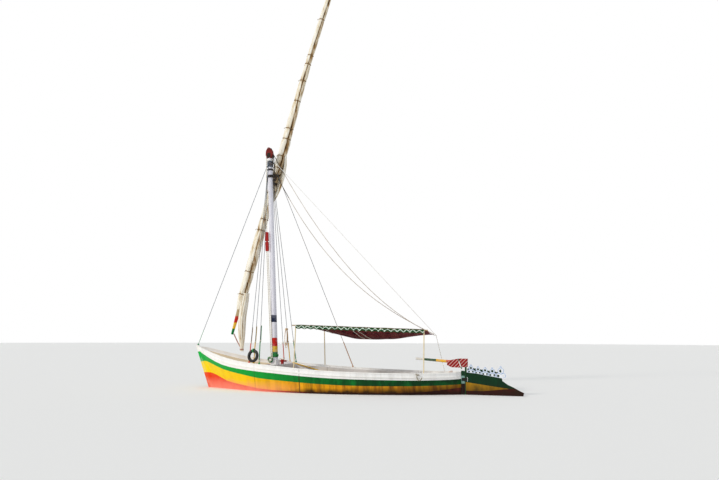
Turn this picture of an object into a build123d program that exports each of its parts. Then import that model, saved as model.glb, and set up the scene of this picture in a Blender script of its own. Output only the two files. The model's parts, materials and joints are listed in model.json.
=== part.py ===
from build123d import *
import os
from math import atan2, cos, hypot, radians, sin

# A Nile felucca at her mooring: a shallow double-ended sailing boat, with a raked mast,
# one long yard with the sail furled round it, a sun awning aft and a big hung rudder.
# Millimetres. X runs aft, Y to starboard and Z up. The origin lies on the waterline,
# on the centreline, half way between stem head and sternpost.

# Hull form. At each station a vertical or raked plane cuts the hull.
# Columns: x at the rail, half breadth at the rail, heights of the rail and of the tops of
# the green, yellow and red bands, breadth at the red edge over that at the rail, rake of
# the plane (aft per unit down) and height of the rabbet, where the planking meets the keel.
STATIONS = (
    (-4700, 45, 1440, 1240, 905, 525, 1.00, 0.395, -250),
    (-4430, 262, 1372, 1140, 915, 520, 0.45, 0.36, -330),
    (-4050, 480, 1270, 1005, 825, 455, 0.55, 0.30, -390),
    (-3450, 735, 1120, 825, 665, 280, 0.68, 0.22, -430),
    (-2700, 992, 980, 716, 553, 190, 0.80, 0.12, -430),
    (-1800, 1224, 890, 646, 435, 98, 0.87, 0.0, -430),
    (-1450, 1292, 866, 624, 408, 78, 0.885, 0.0, -430),
    (-1050, 1352, 838, 598, 384, 62, 0.90, 0.0, -430),
    (-300, 1425, 782, 548, 342, 48, 0.925, 0.0, -430),
    (600, 1446, 726, 502, 300, 42, 0.93, 0.0, -430),
    (1500, 1374, 694, 474, 276, 42, 0.92, 0.0, -430),
    (2400, 1215, 676, 461, 272, 45, 0.89, 0.0, -430),
    (3300, 960, 668, 452, 276, 68, 0.83, 0.0, -430),
    (3900, 715, 672, 456, 288, 118, 0.74, 0.0, -430),
    (4350, 440, 684, 466, 303, 172, 0.62, 0.0, -430),
    (4600, 250, 694, 478, 314, 206, 0.60, 0.0, -430),
    (4720, 60, 700, 486, 320, 222, 1.00, 0.0, -430),
)
SMOOTH_COLUMNS = 6
FOREFOOT = STATIONS[3]
COCKPIT_FORE_X = -1450
COCKPIT_AFT_X = 3300
SKIN = 40
KEEL_HALF = 45
KEEL_DEPTH = 90

# Rails and decks. Shares are of the white strake's height.
CAP_HEIGHT = 30
CAP_OVERHANG = 15
RUB_LOW, RUB_HIGH = 0.34, 0.56
RUB_PROUD = 32
DECK_TOP, DECK_BOTTOM = 0.60, 0.44
DECK_CAMBER = 0.03
SIDE_DECK_WIDTH = 230
COAMING_THICK = 28
COAMING_ABOVE = 55
COAMING_BELOW = 60
BULKHEAD_THICK = 30
SOLE_TOP = 50
SOLE_THICK = 30
BENCH_TOP = 390
BENCH_WIDTH = 360
BENCH_BOARD = 26
SEAT_GAP = 0.3
LINING_GAP = 4

# Stem, sternpost and rudder.
STEM_WIDTH = 100
STEM_HEAD_RISE = 30
FOREFOOT_RADIUS = 420
POST_WIDTH = 80
POST_TOP = 735
STOCK_X = 4862
STOCK_RADIUS = 30
STOCK_TOP = 1010
RUDDER_THICK = 60
RUDDER_FOOT = -620
CREST_THICK = 34
# Motifs of the crest. Columns: distance aft of the stock, height of the foot, size.
CREST_MOTIFS = (
    (165, 660, 1.0), (385, 632, 0.93), (605, 595, 1.0), (825, 560, 1.08), (1085, 520, 1.4),
)
# Discs of one motif. Columns: distance across, height above the foot, radius, radius of its eye.
CREST_DISCS = ((-58, 55, 62, 28), (58, 55, 62, 28), (0, 165, 74, 36), (0, 250, 28, 0))
CREST_BASE = ((45, 600), (45, 720), (1110, 560), (1110, 500))
PIN_PLAY = 1
GUDGEON_HEIGHTS = (-330, 470)
GUDGEON_HEIGHT = 90
GUDGEON_WALL = 18
NOTCH_PLAY = 15
TILLER_TIP = (3260, 0, 1095)
TILLER_END = (4772, 0, 985)
TILLER_TIP_RADIUS = 34
TILLER_HEAD_RADIUS = 50
CHEEK_WIDTH = 150
# Side view of the block on the rudder's head. Columns: distance forward of the stock, height.
CHEEK_OUTLINE = (
    (-60, 860), (-60, 1110), (222, 1110), (412, 1075), (572, 1000), (582, 905), (442, 840), (222, 830),
)

# Mast, masthead and standing rigging.
MAST_FOOT_X = -1702
MAST_RAKE = 0.0515
MAST_TOP = 8130
MAST_FOOT_RADIUS = 102
MAST_TOP_RADIUS = 82
HEAD_HEIGHT = 390
HEAD_LENGTH = 250
HEAD_WIDTH = 170
SHEAVE_SLOT = 40
STEP_LENGTH = 230
STEP_WIDTH = 300
STEP_HEIGHT = 190
BAND_HEIGHT = 46
BAND_WALL = 14
BAND_PITCH = 56
BAND_FIRST = 7830
EAR_REACH = 40
EAR_WIDTH = 30
WIRE_RADIUS = 8
ROD_RADIUS = 16
FOOT_SIZE = 56
FOOT_RISE = 34
# Shroud feet on the rail. Columns: colour, x at the port foot and at the starboard foot,
# length of the painted rod.
SHROUDS = (
    ("red", -2120, -1900, 640),
    ("yellow", -1925, -1690, 690),
    ("green", -1705, -1470, 740),
)
RUNNER_FOOT_X = 640
RUNNER_ROD = 900
RUNNER_TURN = 50

# Yard and furled sail, along the yard from its heel.
YARD_SIDE = 440
YARD_HEEL = (-3630, 1850)
YARD_LEAN = 0.2835
YARD_STRAIGHT = 8900
YARD_LENGTH = 15600
YARD_BEND = 5.5
# Columns: distance from the heel, radius of the spar.
YARD_RADII = (
    (0, 42), (550, 62), (1100, 75), (5810, 90), (8900, 76),
    (10500, 67), (12200, 56), (13800, 45), (15300, 33), (15600, 30),
)
# Columns: distance from the heel, outer radius of the furled sail.
SAIL_LOW = ((900, 115), (1400, 170), (2200, 186), (3200, 186), (4200, 170), (5000, 158), (5600, 128))
SAIL_HIGH = (
    (6020, 135), (6500, 172), (7200, 180), (8000, 158), (8900, 138),
    (10500, 124), (12200, 112), (13800, 90), (15300, 58),
)
# Foot of the sail, which hangs straight down beside the yard. Columns: x, height, radius.
SAIL_TAIL = (
    (-3215, 1250, 60), (-3225, 1500, 84), (-3245, 1900, 135), (-3235, 2450, 140),
    (-3170, 2950, 140), (-3105, 3350, 120),
)

# Tackle of the halyard beside the mast: distances forward of it and to port of it, and
# the foot and top of its long red block.
FALL_FORWARD = 135
FALL_ASIDE = 120
FALL_BLOCK = (4750, 5430)
FALL_HEAD_RISE = 60
FALL_HEAD_FORWARD = 98
FALL_HEAD_ASIDE = 76
FALL_RADIUS = 13
FALL_SPREAD = 25
FALL_FOOT_FORWARD = 70

# Parrel that holds the yard to the mast, and the halyard that carries it.
PARREL_WALL = 24
PARREL_HEIGHT = 90
PARREL_PLAY = 0.4
SLING_RADIUS = 95
SLING_THICK = 16
SLING_GAP = 8
ARM_RADIUS = 22
ARM_FORWARD = 130
PIN_RADIUS = 16
HALYARD_RADIUS = 14
HALYARD_RING_Z = 7700

# Awning over the cockpit.
POLE_RADIUS = 17
RAIL_RADIUS = 17
AWNING_FORE_X = -400
AWNING_AFT_X = 3690
AWNING_FORE_Z = 2120
AWNING_AFT_Z = 1975
AWNING_FAR_CORNER = (3690, 900, 1850)
AWNING_LEAN_IN = 110
AWNING_HOLLOW = 190
AWNING_SAG = 330
AWNING_THICK = 10
CLOTH_GAP = 3.0
GUY_RADIUS = 7
GUY_FOOT_X = 4080
EYE_SIZE = 80
EYE_THICK = 14

# Small things on deck and on the rail.
TYRE_RADIUS = 215
TYRE_BULGE = 46
TYRE_ABOVE = -10
# Half section of the tyre, from the tread round the wall and back inside. Columns: distance
# in from the tread, distance from the middle.
TYRE_SECTION = (
    (0, 12), (4, 23.9), (10, 34), (28, 44.2), (55, 46), (80, 40), (86, 29.9),
    (76, 29.9), (55, 36.8), (28, 34), (14, 13.8),
)
BITTS_X = -1620
BITTS_Y = 420
BITTS_HEIGHT = 190
OAR_RADIUS = 19
OAR_LENGTH = 2270
OAR_RIM_Y = 905
OAR_TIP = (250, 1100)
OAR_BLADE = (620, 130, 16)
OAR_NECK = 120
BOLLARD_X = 4380
BOLLARD_Y = 160
BOLLARD_RADIUS = 34
BOLLARD_HEIGHT = 120
BOLLARD_PAD = 60
BOLLARD_PAD_RISE = 12

LINES = ("rabbet", "floor", "bilge", "red", "yellow", "green", "white")


def slope(low, high, column):
    """Change of one column from a station to a later one, for each unit of x."""
    return (high[column] - low[column]) / (high[0] - low[0])


def mid_station(number):
    """Station half way to the next one, on a smooth curve through those beside them."""
    low, high = STATIONS[number], STATIONS[number + 1]
    before = STATIONS[max(number - 1, 0)]
    after = STATIONS[min(number + 2, len(STATIONS) - 1)]
    values = []
    for column in range(len(low)):
        bend = slope(before, high, column) - slope(low, after, column)
        if column >= SMOOTH_COLUMNS:
            bend = 0
        values.append((low[column] + high[column]) / 2 + bend * (high[0] - low[0]) / 8)
    return tuple(values)


def all_stations():
    """The stations with one more between each two."""
    stations = [STATIONS[0]]
    for number, station in enumerate(STATIONS[1:]):
        stations += [mid_station(number), station]
    return stations


def outer_points(station):
    """Outer points of one side of the hull at a station, from the rabbet up to the rail."""
    x, half, rail, green_z, yellow_z, red_z, fine, rake, rabbet = station
    heights = (rabbet, 0.77 * rabbet, 0.33 * rabbet, red_z, yellow_z, green_z, rail - CAP_HEIGHT)
    edge = half * fine
    flare = half - edge
    breadths = (KEEL_HALF, 0.5 * edge, 0.86 * edge, edge, edge + 0.55 * flare, edge + 0.8 * flare, half)
    return {
        name: Vector(x + rake * (rail - z), max(y, KEEL_HALF), z)
        for name, y, z in zip(LINES, breadths, heights)
    }


def inner_points(station):
    """Inner points of the skin, in the same plane, for each outer point."""
    rake = station[-2]
    shifts = {"rabbet": (40, 40), "floor": (20, 34), "bilge": (32, 20)}
    points = {}
    for name, point in outer_points(station).items():
        inward, up = shifts.get(name, (SKIN, 0))
        if point.Y < 1.2 * KEEL_HALF and name != "rabbet":
            inward, up = SKIN, 0
        points[name] = Vector(point.X - rake * up, point.Y - inward, point.Z + up)
    return points


def stations_between(low, high):
    """Stations from one x to another."""
    return [station for station in all_stations() if low <= station[0] <= high]


def cockpit_span():
    """Stations from one cockpit bulkhead to the other."""
    return stations_between(COCKPIT_FORE_X, COCKPIT_AFT_X)


def station_at(x):
    """Station values at any x, in line between the two stations beside it."""
    stations = all_stations()
    for low, high in zip(stations, stations[1:]):
        if low[0] <= x <= high[0]:
            share = (x - low[0]) / (high[0] - low[0])
            return tuple(a + share * (b - a) for a, b in zip(low, high))
    raise ValueError("x is off the hull")


def skin_points(x, side):
    """Points of the skin at an upright plane at x, in line between the stations beside it."""
    stations = all_stations()
    for low, high in zip(stations, stations[1:]):
        if low[0] <= x <= high[0]:
            share = (x - low[0]) / (high[0] - low[0])
            first, last = side(low), side(high)
            return {name: first[name] + (last[name] - first[name]) * share for name in LINES}
    raise ValueError("x is off the hull")


def inner_breadth(points, z):
    """Half breadth inside the skin at height z."""
    for low, high in zip(LINES, LINES[1:]):
        if points[low].Z <= z <= points[high].Z:
            share = (z - points[low].Z) / (points[high].Z - points[low].Z)
            return points[low].Y + share * (points[high].Y - points[low].Y)
    raise ValueError("z is off the skin")


def on_line(points, low, high, share):
    """Point at a share of the way from one line up to the next."""
    return points[low] + (points[high] - points[low]) * share


def section(points):
    """Flat face through points."""
    return Face(Wire.make_polygon(points, close=True))


def hull_loft(outline, stations=None):
    """Straight-sided loft of one outline through some stations, or through all of them."""
    return loft([section(outline(station)) for station in stations or all_stations()], ruled=True)


def to_port(point):
    """The same point on the port side."""
    return Vector(point.X, -point.Y, point.Z)


def both_sides(part):
    """The starboard piece and its mirror image on the port side."""
    return [part, mirror(part, Plane.XZ)]


def strake(low, high):
    """One painted band of the hull skin, on both sides."""
    def outline(station):
        outer, inner = outer_points(station), inner_points(station)
        return [outer[low], outer[high], inner[high], inner[low]]
    return both_sides(hull_loft(outline))


def bottom():
    """The red bottom, from the keel up over the bilge to just above the water."""
    def outline(station):
        outer, inner = outer_points(station), inner_points(station)
        rabbet = outer["rabbet"]
        garboard = Vector(rabbet.X, inner["rabbet"].Y, rabbet.Z)
        names = LINES[:4]
        return [outer[n] for n in names] + [inner[n] for n in reversed(names)] + [garboard]
    return both_sides(hull_loft(outline))


def gunwale():
    """Rail cap along the top of the skin, on both sides."""
    def outline(station):
        top = outer_points(station)["white"]
        low_x, high_x = top.X, top.X - station[-2] * CAP_HEIGHT
        inside = max(top.Y - SKIN - 8, 5)
        outside = top.Y + CAP_OVERHANG
        return [Vector(low_x, inside, top.Z), Vector(low_x, outside, top.Z),
                Vector(high_x, outside, top.Z + CAP_HEIGHT), Vector(high_x, inside, top.Z + CAP_HEIGHT)]
    return both_sides(hull_loft(outline))


def rub_rail():
    """Rubbing rail along the white strake, on both sides."""
    def outline(station):
        outer = outer_points(station)
        low = on_line(outer, "green", "white", RUB_LOW)
        high = on_line(outer, "green", "white", RUB_HIGH)
        proud = Vector(0, RUB_PROUD, 0)
        return [low, low + (high - low) * 0.25 + proud, low + (high - low) * 0.75 + proud, high]
    return both_sides(hull_loft(outline))


def deck(stations):
    """Cambered deck between the skins."""
    def outline(station):
        inner = inner_points(station)
        top = on_line(inner, "green", "white", DECK_TOP)
        low = on_line(inner, "green", "white", DECK_BOTTOM)
        crown = Vector(0, 0, DECK_CAMBER * top.Y)
        mid_top = Vector(top.X - station[-2] * crown.Z, 0, top.Z + crown.Z)
        mid_low = Vector(low.X - station[-2] * crown.Z, 0, low.Z + crown.Z)
        return [low, top, mid_top, to_port(top), to_port(low), mid_low]
    return hull_loft(outline, stations)


def side_deck_edge(station):
    """Inner edge of the side deck."""
    inner = inner_points(station)
    top = on_line(inner, "green", "white", DECK_TOP)
    low = on_line(inner, "green", "white", DECK_BOTTOM)
    return low, top


def side_decks():
    """Narrow decks beside the cockpit."""
    def outline(station):
        low, top = side_deck_edge(station)
        inward = Vector(0, -SIDE_DECK_WIDTH, 0)
        return [low, top, top + inward, low + inward]
    return both_sides(hull_loft(outline, cockpit_span()))


def coaming():
    """Upright rim round the cockpit."""
    def outline(station):
        low, top = side_deck_edge(station)
        edge = low.Y - SIDE_DECK_WIDTH
        edge_top = top.Y - SIDE_DECK_WIDTH
        return [Vector(low.X, edge, low.Z - COAMING_BELOW), Vector(low.X, edge, low.Z),
                Vector(low.X, edge_top, top.Z), Vector(low.X, edge_top, top.Z + COAMING_ABOVE),
                Vector(low.X, edge_top - COAMING_THICK, top.Z + COAMING_ABOVE),
                Vector(low.X, edge - COAMING_THICK, low.Z - COAMING_BELOW)]
    return both_sides(hull_loft(outline, cockpit_span()))


def rim_top(station):
    """Height of the rim across one end of the cockpit."""
    top = side_deck_edge(station)[1]
    return top.Z + DECK_CAMBER * top.Y + COAMING_ABOVE


def cross_coaming(station, forward):
    """Rim across one end of the cockpit, standing on the deck's edge and bulkhead."""
    low = side_deck_edge(station)[0]
    reach = low.Y - SIDE_DECK_WIDTH - COAMING_THICK - SEAT_GAP
    height = rim_top(station) - low.Z + COAMING_BELOW
    place = Pos(station[0] + forward * COAMING_THICK / 2, 0, low.Z - COAMING_BELOW + height / 2)
    return place * Box(COAMING_THICK, 2 * reach, height)


def bulkhead(x_near, x_far):
    """Full-width wall that closes the hull at one end of the cockpit, up to the deck."""
    faces = []
    for x in (x_near, x_far):
        points = skin_points(x, inner_points)
        top = on_line(points, "green", "white", DECK_BOTTOM)
        half = [points[name] for name in LINES[:-1]] + [top]
        crown = Vector(x, 0, top.Z + DECK_CAMBER * on_line(points, "green", "white", DECK_TOP).Y)
        faces.append(section(half + [crown] + [to_port(point) for point in reversed(half)]))
    return loft(faces, ruled=True)


def sole():
    """Cockpit floor."""
    def outline(station):
        inner = inner_points(station)
        x = station[0]
        top = inner_breadth(inner, SOLE_TOP) - LINING_GAP
        low = inner_breadth(inner, SOLE_TOP - SOLE_THICK) - LINING_GAP
        return [Vector(x, low, SOLE_TOP - SOLE_THICK), Vector(x, top, SOLE_TOP),
                Vector(x, -top, SOLE_TOP), Vector(x, -low, SOLE_TOP - SOLE_THICK)]
    return hull_loft(outline, cockpit_span())


def benches():
    """Seat boards along both sides with their front boards."""
    def outline(station):
        inner = inner_points(station)
        x = station[0]
        top = inner_breadth(inner, BENCH_TOP) - LINING_GAP
        low = inner_breadth(inner, BENCH_TOP - BENCH_BOARD) - LINING_GAP
        front = top - BENCH_WIDTH
        back = front + BENCH_BOARD
        return [Vector(x, low, BENCH_TOP - BENCH_BOARD), Vector(x, top, BENCH_TOP),
                Vector(x, front, BENCH_TOP), Vector(x, front, SOLE_TOP), Vector(x, back, SOLE_TOP),
                Vector(x, back, BENCH_TOP - BENCH_BOARD)]
    return both_sides(hull_loft(outline, cockpit_span()))


def slab(points, width):
    """Plate of one width across the centreline, from an outline in the X-Z plane."""
    face = section([Vector(x, -width / 2, z) for x, z in points])
    return extrude(face, amount=width, dir=(0, 1, 0))


def stem():
    """Raked stem with its flat head and rounded forefoot."""
    first = STATIONS[0]
    rake, rail = first[-2], first[2]
    rabbets = [outer_points(s)["rabbet"] for s in stations_between(first[0], FOREFOOT[0])]
    back = [(point.X, point.Z) for point in rabbets]
    head_z = rail + STEM_HEAD_RISE
    head_front = first[0] - STEM_WIDTH - rake * STEM_HEAD_RISE
    aft_top = first[0] - rake * STEM_HEAD_RISE
    foot_z = FOREFOOT[-1] - KEEL_DEPTH
    turn_x = head_front + rake * (head_z - foot_z)
    outline = [(head_front, head_z), (aft_top, head_z)] + back
    outline += [(back[-1][0], foot_z), (turn_x, foot_z)]
    body = slab(outline, 2 * KEEL_HALF)
    corner = [e for e in body.edges().filter_by(Axis.Y)
              if abs(e.center().X - turn_x) < 1 and abs(e.center().Z - foot_z) < 1]
    return fillet(corner, FOREFOOT_RADIUS)


def keel():
    """Straight bar keel from the forefoot to the sternpost."""
    start = outer_points(FOREFOOT)["rabbet"]
    end = STATIONS[-1][0]
    return Pos((start.X + end) / 2, 0, start.Z - KEEL_DEPTH / 2) * Box(
        end - start.X, 2 * KEEL_HALF, KEEL_DEPTH)


def sternpost():
    """Upright post that closes the stern and carries the rudder."""
    low = STATIONS[-1][-1] - KEEL_DEPTH
    return Pos(STATIONS[-1][0] + POST_WIDTH / 2, 0, (low + POST_TOP) / 2) * Box(
        POST_WIDTH, 2 * KEEL_HALF, POST_TOP - low)


def rod(start, end, radius, end_radius=None):
    """Round bar or taper between two points."""
    start, end = Vector(*start), Vector(*end)
    way = end - start
    place = Plane(origin=start, z_dir=way).location
    if end_radius is None:
        shape = Cylinder(radius, way.length, align=(Align.CENTER, Align.CENTER, Align.MIN))
    else:
        shape = Cone(radius, end_radius, way.length, align=(Align.CENTER, Align.CENTER, Align.MIN))
    return place * shape


def mast_at(z, aside=0):
    """Point on the mast's centreline at height z."""
    return Vector(MAST_FOOT_X - MAST_RAKE * (z - 900), aside, z)


def mast_radius(z):
    """Mast radius at height z."""
    share = (z - 700) / (MAST_TOP - 700)
    return MAST_FOOT_RADIUS + share * (MAST_TOP_RADIUS - MAST_FOOT_RADIUS)


def topmost(part):
    """The highest solid of a piece that a cut has parted."""
    return max(part.solids(), key=lambda solid: solid.center().Z)


def mast(foredeck):
    """Raked, tapered mast, standing on the deck."""
    return topmost(rod(mast_at(700), mast_at(MAST_TOP), MAST_FOOT_RADIUS, MAST_TOP_RADIUS) - foredeck)


def mast_step(foredeck):
    """White block that holds the foot of the mast."""
    deck_z = deck_height(MAST_FOOT_X)
    block = Pos(MAST_FOOT_X, 0, deck_z + STEP_HEIGHT / 2 - 20) * Box(
        STEP_LENGTH, STEP_WIDTH, STEP_HEIGHT + 40)
    block = fillet(block.edges().filter_by(Axis.Z), 30)
    hole = rod(mast_at(600), mast_at(1300), mast_radius(600) + SEAT_GAP, mast_radius(1300) + SEAT_GAP)
    return topmost(block - hole - foredeck)


def deck_height(x):
    """Height of the deck's crown at x."""
    points = skin_points(x, inner_points)
    top = on_line(points, "green", "white", DECK_TOP)
    return top.Z + DECK_CAMBER * top.Y


def mast_head(spar):
    """Head block with the halyard's sheave slot, on top of the mast."""
    outline = [(-0.34, 0), (0.34, 0), (0.5, 0.3), (0.42, 0.72), (0.12, 1), (-0.12, 1), (-0.42, 0.72), (-0.5, 0.3)]
    points = []
    for along, share in outline:
        centre = mast_at(MAST_TOP + share * HEAD_HEIGHT)
        points.append((centre.X + along * HEAD_LENGTH, centre.Z))
    block = slab(points, HEAD_WIDTH)
    slot = Pos(mast_at(MAST_TOP + 0.5 * HEAD_HEIGHT)) * Box(
        HEAD_LENGTH * 0.55, SHEAVE_SLOT, HEAD_HEIGHT * 0.5)
    return block - slot - spar


def mast_plane(z):
    """Place on the mast's centreline at height z, square to the mast."""
    return Plane(origin=mast_at(z), x_dir=(1, 0, MAST_RAKE), z_dir=(-MAST_RAKE, 0, 1)).location


def band_height(number):
    """Height of one of the masthead's iron bands, counted from the lowest."""
    return BAND_FIRST + number * BAND_PITCH


def ear_point(z, turn):
    """Where a wire leaves the ear of a band, turned from straight aft towards starboard."""
    out = mast_radius(z) + EAR_REACH
    return mast_at(z) + Vector(out * cos(radians(turn)), out * sin(radians(turn)), 0)


def band(z, turn):
    """Iron band round the mast, with one ear."""
    radius = mast_radius(z)
    ear = Rot(0, 0, turn) * Pos(radius + EAR_REACH / 2, 0, 0) * Box(EAR_REACH + 16, EAR_WIDTH, BAND_HEIGHT)
    shape = Cylinder(radius + BAND_WALL, BAND_HEIGHT) + ear
    shape -= Cylinder(mast_radius(z - BAND_HEIGHT) + SEAT_GAP, 2 * BAND_HEIGHT)
    return mast_plane(z) * shape


def rail_top(x):
    """Centre of the rail cap's top at x, starboard side."""
    half, rail = station_at(x)[1:3]
    return Vector(x, half - SKIN / 2, rail)


def shroud_lines(side):
    """Foot and head of each shroud on one side, with its band's height."""
    head = ear_point(band_height(1 if side < 0 else 2), side * 90)
    for colour, port_x, starboard_x, length in SHROUDS:
        foot = rail_top(port_x if side < 0 else starboard_x)
        yield colour, Vector(foot.X, side * foot.Y, foot.Z + FOOT_RISE), head, length


def wires(side):
    """Three shroud wires and the masthead band that carries them."""
    part = band(band_height(1 if side < 0 else 2), side * 90)
    for colour, foot, head, length in shroud_lines(side):
        way = (head - foot).normalized()
        part += rod(foot + way * length, head, WIRE_RADIUS)
    return part


def shroud_rod(colour_wanted, rail):
    """Painted rigging rods of one colour, on both sides, with their feet on the rail."""
    parts = []
    for side in (-1, 1):
        for colour, foot, head, length in shroud_lines(side):
            if colour != colour_wanted:
                continue
            way = (head - foot).normalized()
            shape = rod(foot, foot + way * length, ROD_RADIUS)
            block = Pos(foot - Vector(0, 0, FOOT_RISE / 2 + 8)) * Box(
                FOOT_SIZE, FOOT_SIZE * 0.8, FOOT_RISE + 24)
            parts.append(shape + block - rail[0] - rail[1])
    return parts


def forestay():
    """Stay from the masthead to the stem head."""
    z = band_height(0)
    stem_top = Vector(STATIONS[0][0] - STEM_WIDTH * 0.35, 0, STATIONS[0][2] + STEM_HEAD_RISE)
    eye = Pos(stem_top + Vector(0, 0, 20)) * Box(60, 30, 40)
    return band(z, 180) + rod(stem_top + Vector(0, 0, 25), ear_point(z, 180), WIRE_RADIUS) + eye


def runner(rail):
    """Running backstay from the masthead to the starboard rail."""
    z = band_height(3)
    foot = rail_top(RUNNER_FOOT_X) + Vector(0, 0, FOOT_RISE)
    head = ear_point(z, RUNNER_TURN)
    way = (head - foot).normalized()
    block = Pos(foot - Vector(0, 0, FOOT_RISE / 2 + 8)) * Box(FOOT_SIZE, FOOT_SIZE * 0.8, FOOT_RISE + 24)
    part = band(z, RUNNER_TURN)
    part += rod(foot, foot + way * RUNNER_ROD, ROD_RADIUS)
    part += rod(foot + way * (RUNNER_ROD - 20), head, WIRE_RADIUS)
    return part + (block - rail[0] - rail[1])


def corner_eye():
    """Plate under the awning's far corner, with room outside it for the stay's eye."""
    corner = Vector(*AWNING_FAR_CORNER)
    top = corner.Z - AWNING_THICK - SEAT_GAP
    return Pos(corner.X + EYE_SIZE / 4, corner.Y + EYE_SIZE / 4, top - EYE_THICK / 2) * Box(
        EYE_SIZE, EYE_SIZE, EYE_THICK)


def stay_foot():
    """Where the backstay meets the corner plate."""
    corner = Vector(*AWNING_FAR_CORNER)
    return Vector(corner.X + 0.55 * EYE_SIZE, corner.Y + 0.55 * EYE_SIZE, corner.Z - AWNING_THICK)


def backstays():
    """Stay from the masthead to the awning's far corner."""
    z = band_height(4)
    line = rod(stay_foot() - Vector(0, 0, EYE_THICK / 2), ear_point(z, 0), WIRE_RADIUS)
    return band(z, 0) + (line - corner_eye())


def yard_point(along):
    """Point on the yard's centreline, by distance from the heel."""
    lean = atan2(YARD_LEAN, 1)
    reach = min(along, YARD_STRAIGHT)
    x = YARD_HEEL[0] + reach * sin(lean)
    z = YARD_HEEL[1] + reach * cos(lean)
    if along > YARD_STRAIGHT:
        over = along - YARD_STRAIGHT
        turn = radians(YARD_BEND) * over / (YARD_LENGTH - YARD_STRAIGHT)
        x += over * sin(lean + turn / 2)
        z += over * cos(lean + turn / 2)
    return Vector(x, YARD_SIDE, z)


def yard_way(along):
    """Direction of the yard at a distance from the heel."""
    lean = atan2(YARD_LEAN, 1)
    if along > YARD_STRAIGHT:
        lean += radians(YARD_BEND) * (along - YARD_STRAIGHT) / (YARD_LENGTH - YARD_STRAIGHT)
    return Vector(sin(lean), 0, cos(lean))


def along_yard(table, extra=0.0):
    """Round tapering body along the yard, from a table of distance and radius."""
    rings = []
    for along, radius in table:
        place = Plane(origin=yard_point(along), z_dir=yard_way(along))
        rings.append(place * Circle(radius + extra))
    return loft(rings, ruled=True)


def spar_radius(along):
    """Radius of the spar at a distance from the heel."""
    for low, high in zip(YARD_RADII, YARD_RADII[1:]):
        if low[0] <= along <= high[0]:
            return low[1] + (high[1] - low[1]) * (along - low[0]) / (high[0] - low[0])
    raise ValueError("off the yard")


def parrel_along():
    """Distance from the heel to where the yard crosses the mast."""
    heel_x, heel_z = YARD_HEEL
    z = (MAST_FOOT_X + MAST_RAKE * 900 - heel_x + YARD_LEAN * heel_z) / (YARD_LEAN + MAST_RAKE)
    return (z - heel_z) * hypot(1, YARD_LEAN)


def yard():
    """The long yard, bent towards its top, with the pin that it swings on."""
    spar = along_yard(YARD_RADII)
    centre = yard_point(parrel_along())
    pin_end = centre - Vector(0, spar_radius(parrel_along()) + SLING_GAP + SLING_THICK + 6, 0)
    return spar + rod(centre, pin_end, PIN_RADIUS)


def furled_sail_lower():
    """Furled sail from the heel to the parrel, with its foot hanging down."""
    tail = loft([Pos(x, YARD_SIDE, z) * Circle(radius) for x, z, radius in SAIL_TAIL], ruled=True)
    return along_yard(SAIL_LOW) + tail - along_yard(YARD_RADII, extra=SEAT_GAP)


def furled_sail_upper():
    """Furled sail from the parrel to the yard's top end."""
    return along_yard(SAIL_HIGH) - along_yard(YARD_RADII, extra=SEAT_GAP)


def parrel():
    """Collar round the mast, with the arm and plate that hold the yard."""
    along = parrel_along()
    centre = yard_point(along)
    inner = mast_radius(centre.Z - PARREL_HEIGHT) + PARREL_PLAY
    collar = mast_plane(centre.Z) * (Cylinder(inner + PARREL_WALL, PARREL_HEIGHT) - Cylinder(inner, PARREL_HEIGHT))
    plate_y = YARD_SIDE - spar_radius(along) - SLING_GAP - SLING_THICK / 2
    plate = Pos(centre.X, plate_y, centre.Z) * Rot(90, 0, 0) * Cylinder(SLING_RADIUS, SLING_THICK)
    start = mast_at(centre.Z) - Vector(inner + PARREL_WALL + 0.4 * ARM_RADIUS, 0, 0)
    end = Vector(centre.X - SLING_RADIUS * 0.7, plate_y, centre.Z)
    hole = Pos(centre.X, plate_y, centre.Z) * Rot(90, 0, 0) * Cylinder(PIN_RADIUS + PIN_PLAY, 3 * SLING_THICK)
    return collar + (rod(start, end, ARM_RADIUS) + plate - hole)


def halyard(plate):
    """Halyard from a ring under the masthead to the yard's plate."""
    along = parrel_along()
    centre = yard_point(along)
    z = HALYARD_RING_Z
    inner = mast_radius(z - BAND_HEIGHT) + PARREL_PLAY
    ring = mast_plane(z) * (Cylinder(inner + 20, BAND_HEIGHT) - Cylinder(inner, BAND_HEIGHT))
    start = mast_at(z) + Vector(-inner - HALYARD_RADIUS - 2, 0, 0)
    plate_y = YARD_SIDE - spar_radius(along) - SLING_GAP - SLING_THICK / 2
    end = Vector(centre.X - SLING_RADIUS * 0.6, plate_y, centre.Z + SLING_RADIUS * 0.35)
    return ring + (rod(start, end, HALYARD_RADIUS) - plate)


def rudder_blade():
    """Deep rudder blade with its stepped and hollowed tail."""
    lead = STOCK_X
    outline = [
        (lead, 690), (lead + 370, 650), (lead + 740, 585), (lead + 1110, 525), (lead + 1130, 440),
        (lead + 1290, 330), (lead + 1440, 262), (lead + 1650, 150), (lead + 1770, 95),
        (lead + 1700, -180), (lead + 1380, RUDDER_FOOT), (lead, RUDDER_FOOT),
    ]
    blade = slab(outline, RUDDER_THICK)
    for z in GUDGEON_HEIGHTS:
        reach = STOCK_RADIUS + GUDGEON_WALL + NOTCH_PLAY
        blade -= Pos(lead, 0, z) * Box(2 * reach, 2 * RUDDER_THICK, GUDGEON_HEIGHT + 2 * NOTCH_PLAY)
    return blade - rudder_stock()


def rudder_stock():
    """Round rudder stock with the square head that takes the tiller."""
    length = STOCK_TOP - RUDDER_FOOT
    return Pos(STOCK_X, 0, RUDDER_FOOT + length / 2) * Cylinder(STOCK_RADIUS, length)


def across(x, z, radius, width):
    """Round bar across the centreline at x and z."""
    return Pos(x, 0, z) * Rot(90, 0, 0) * Cylinder(radius, width)


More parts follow.
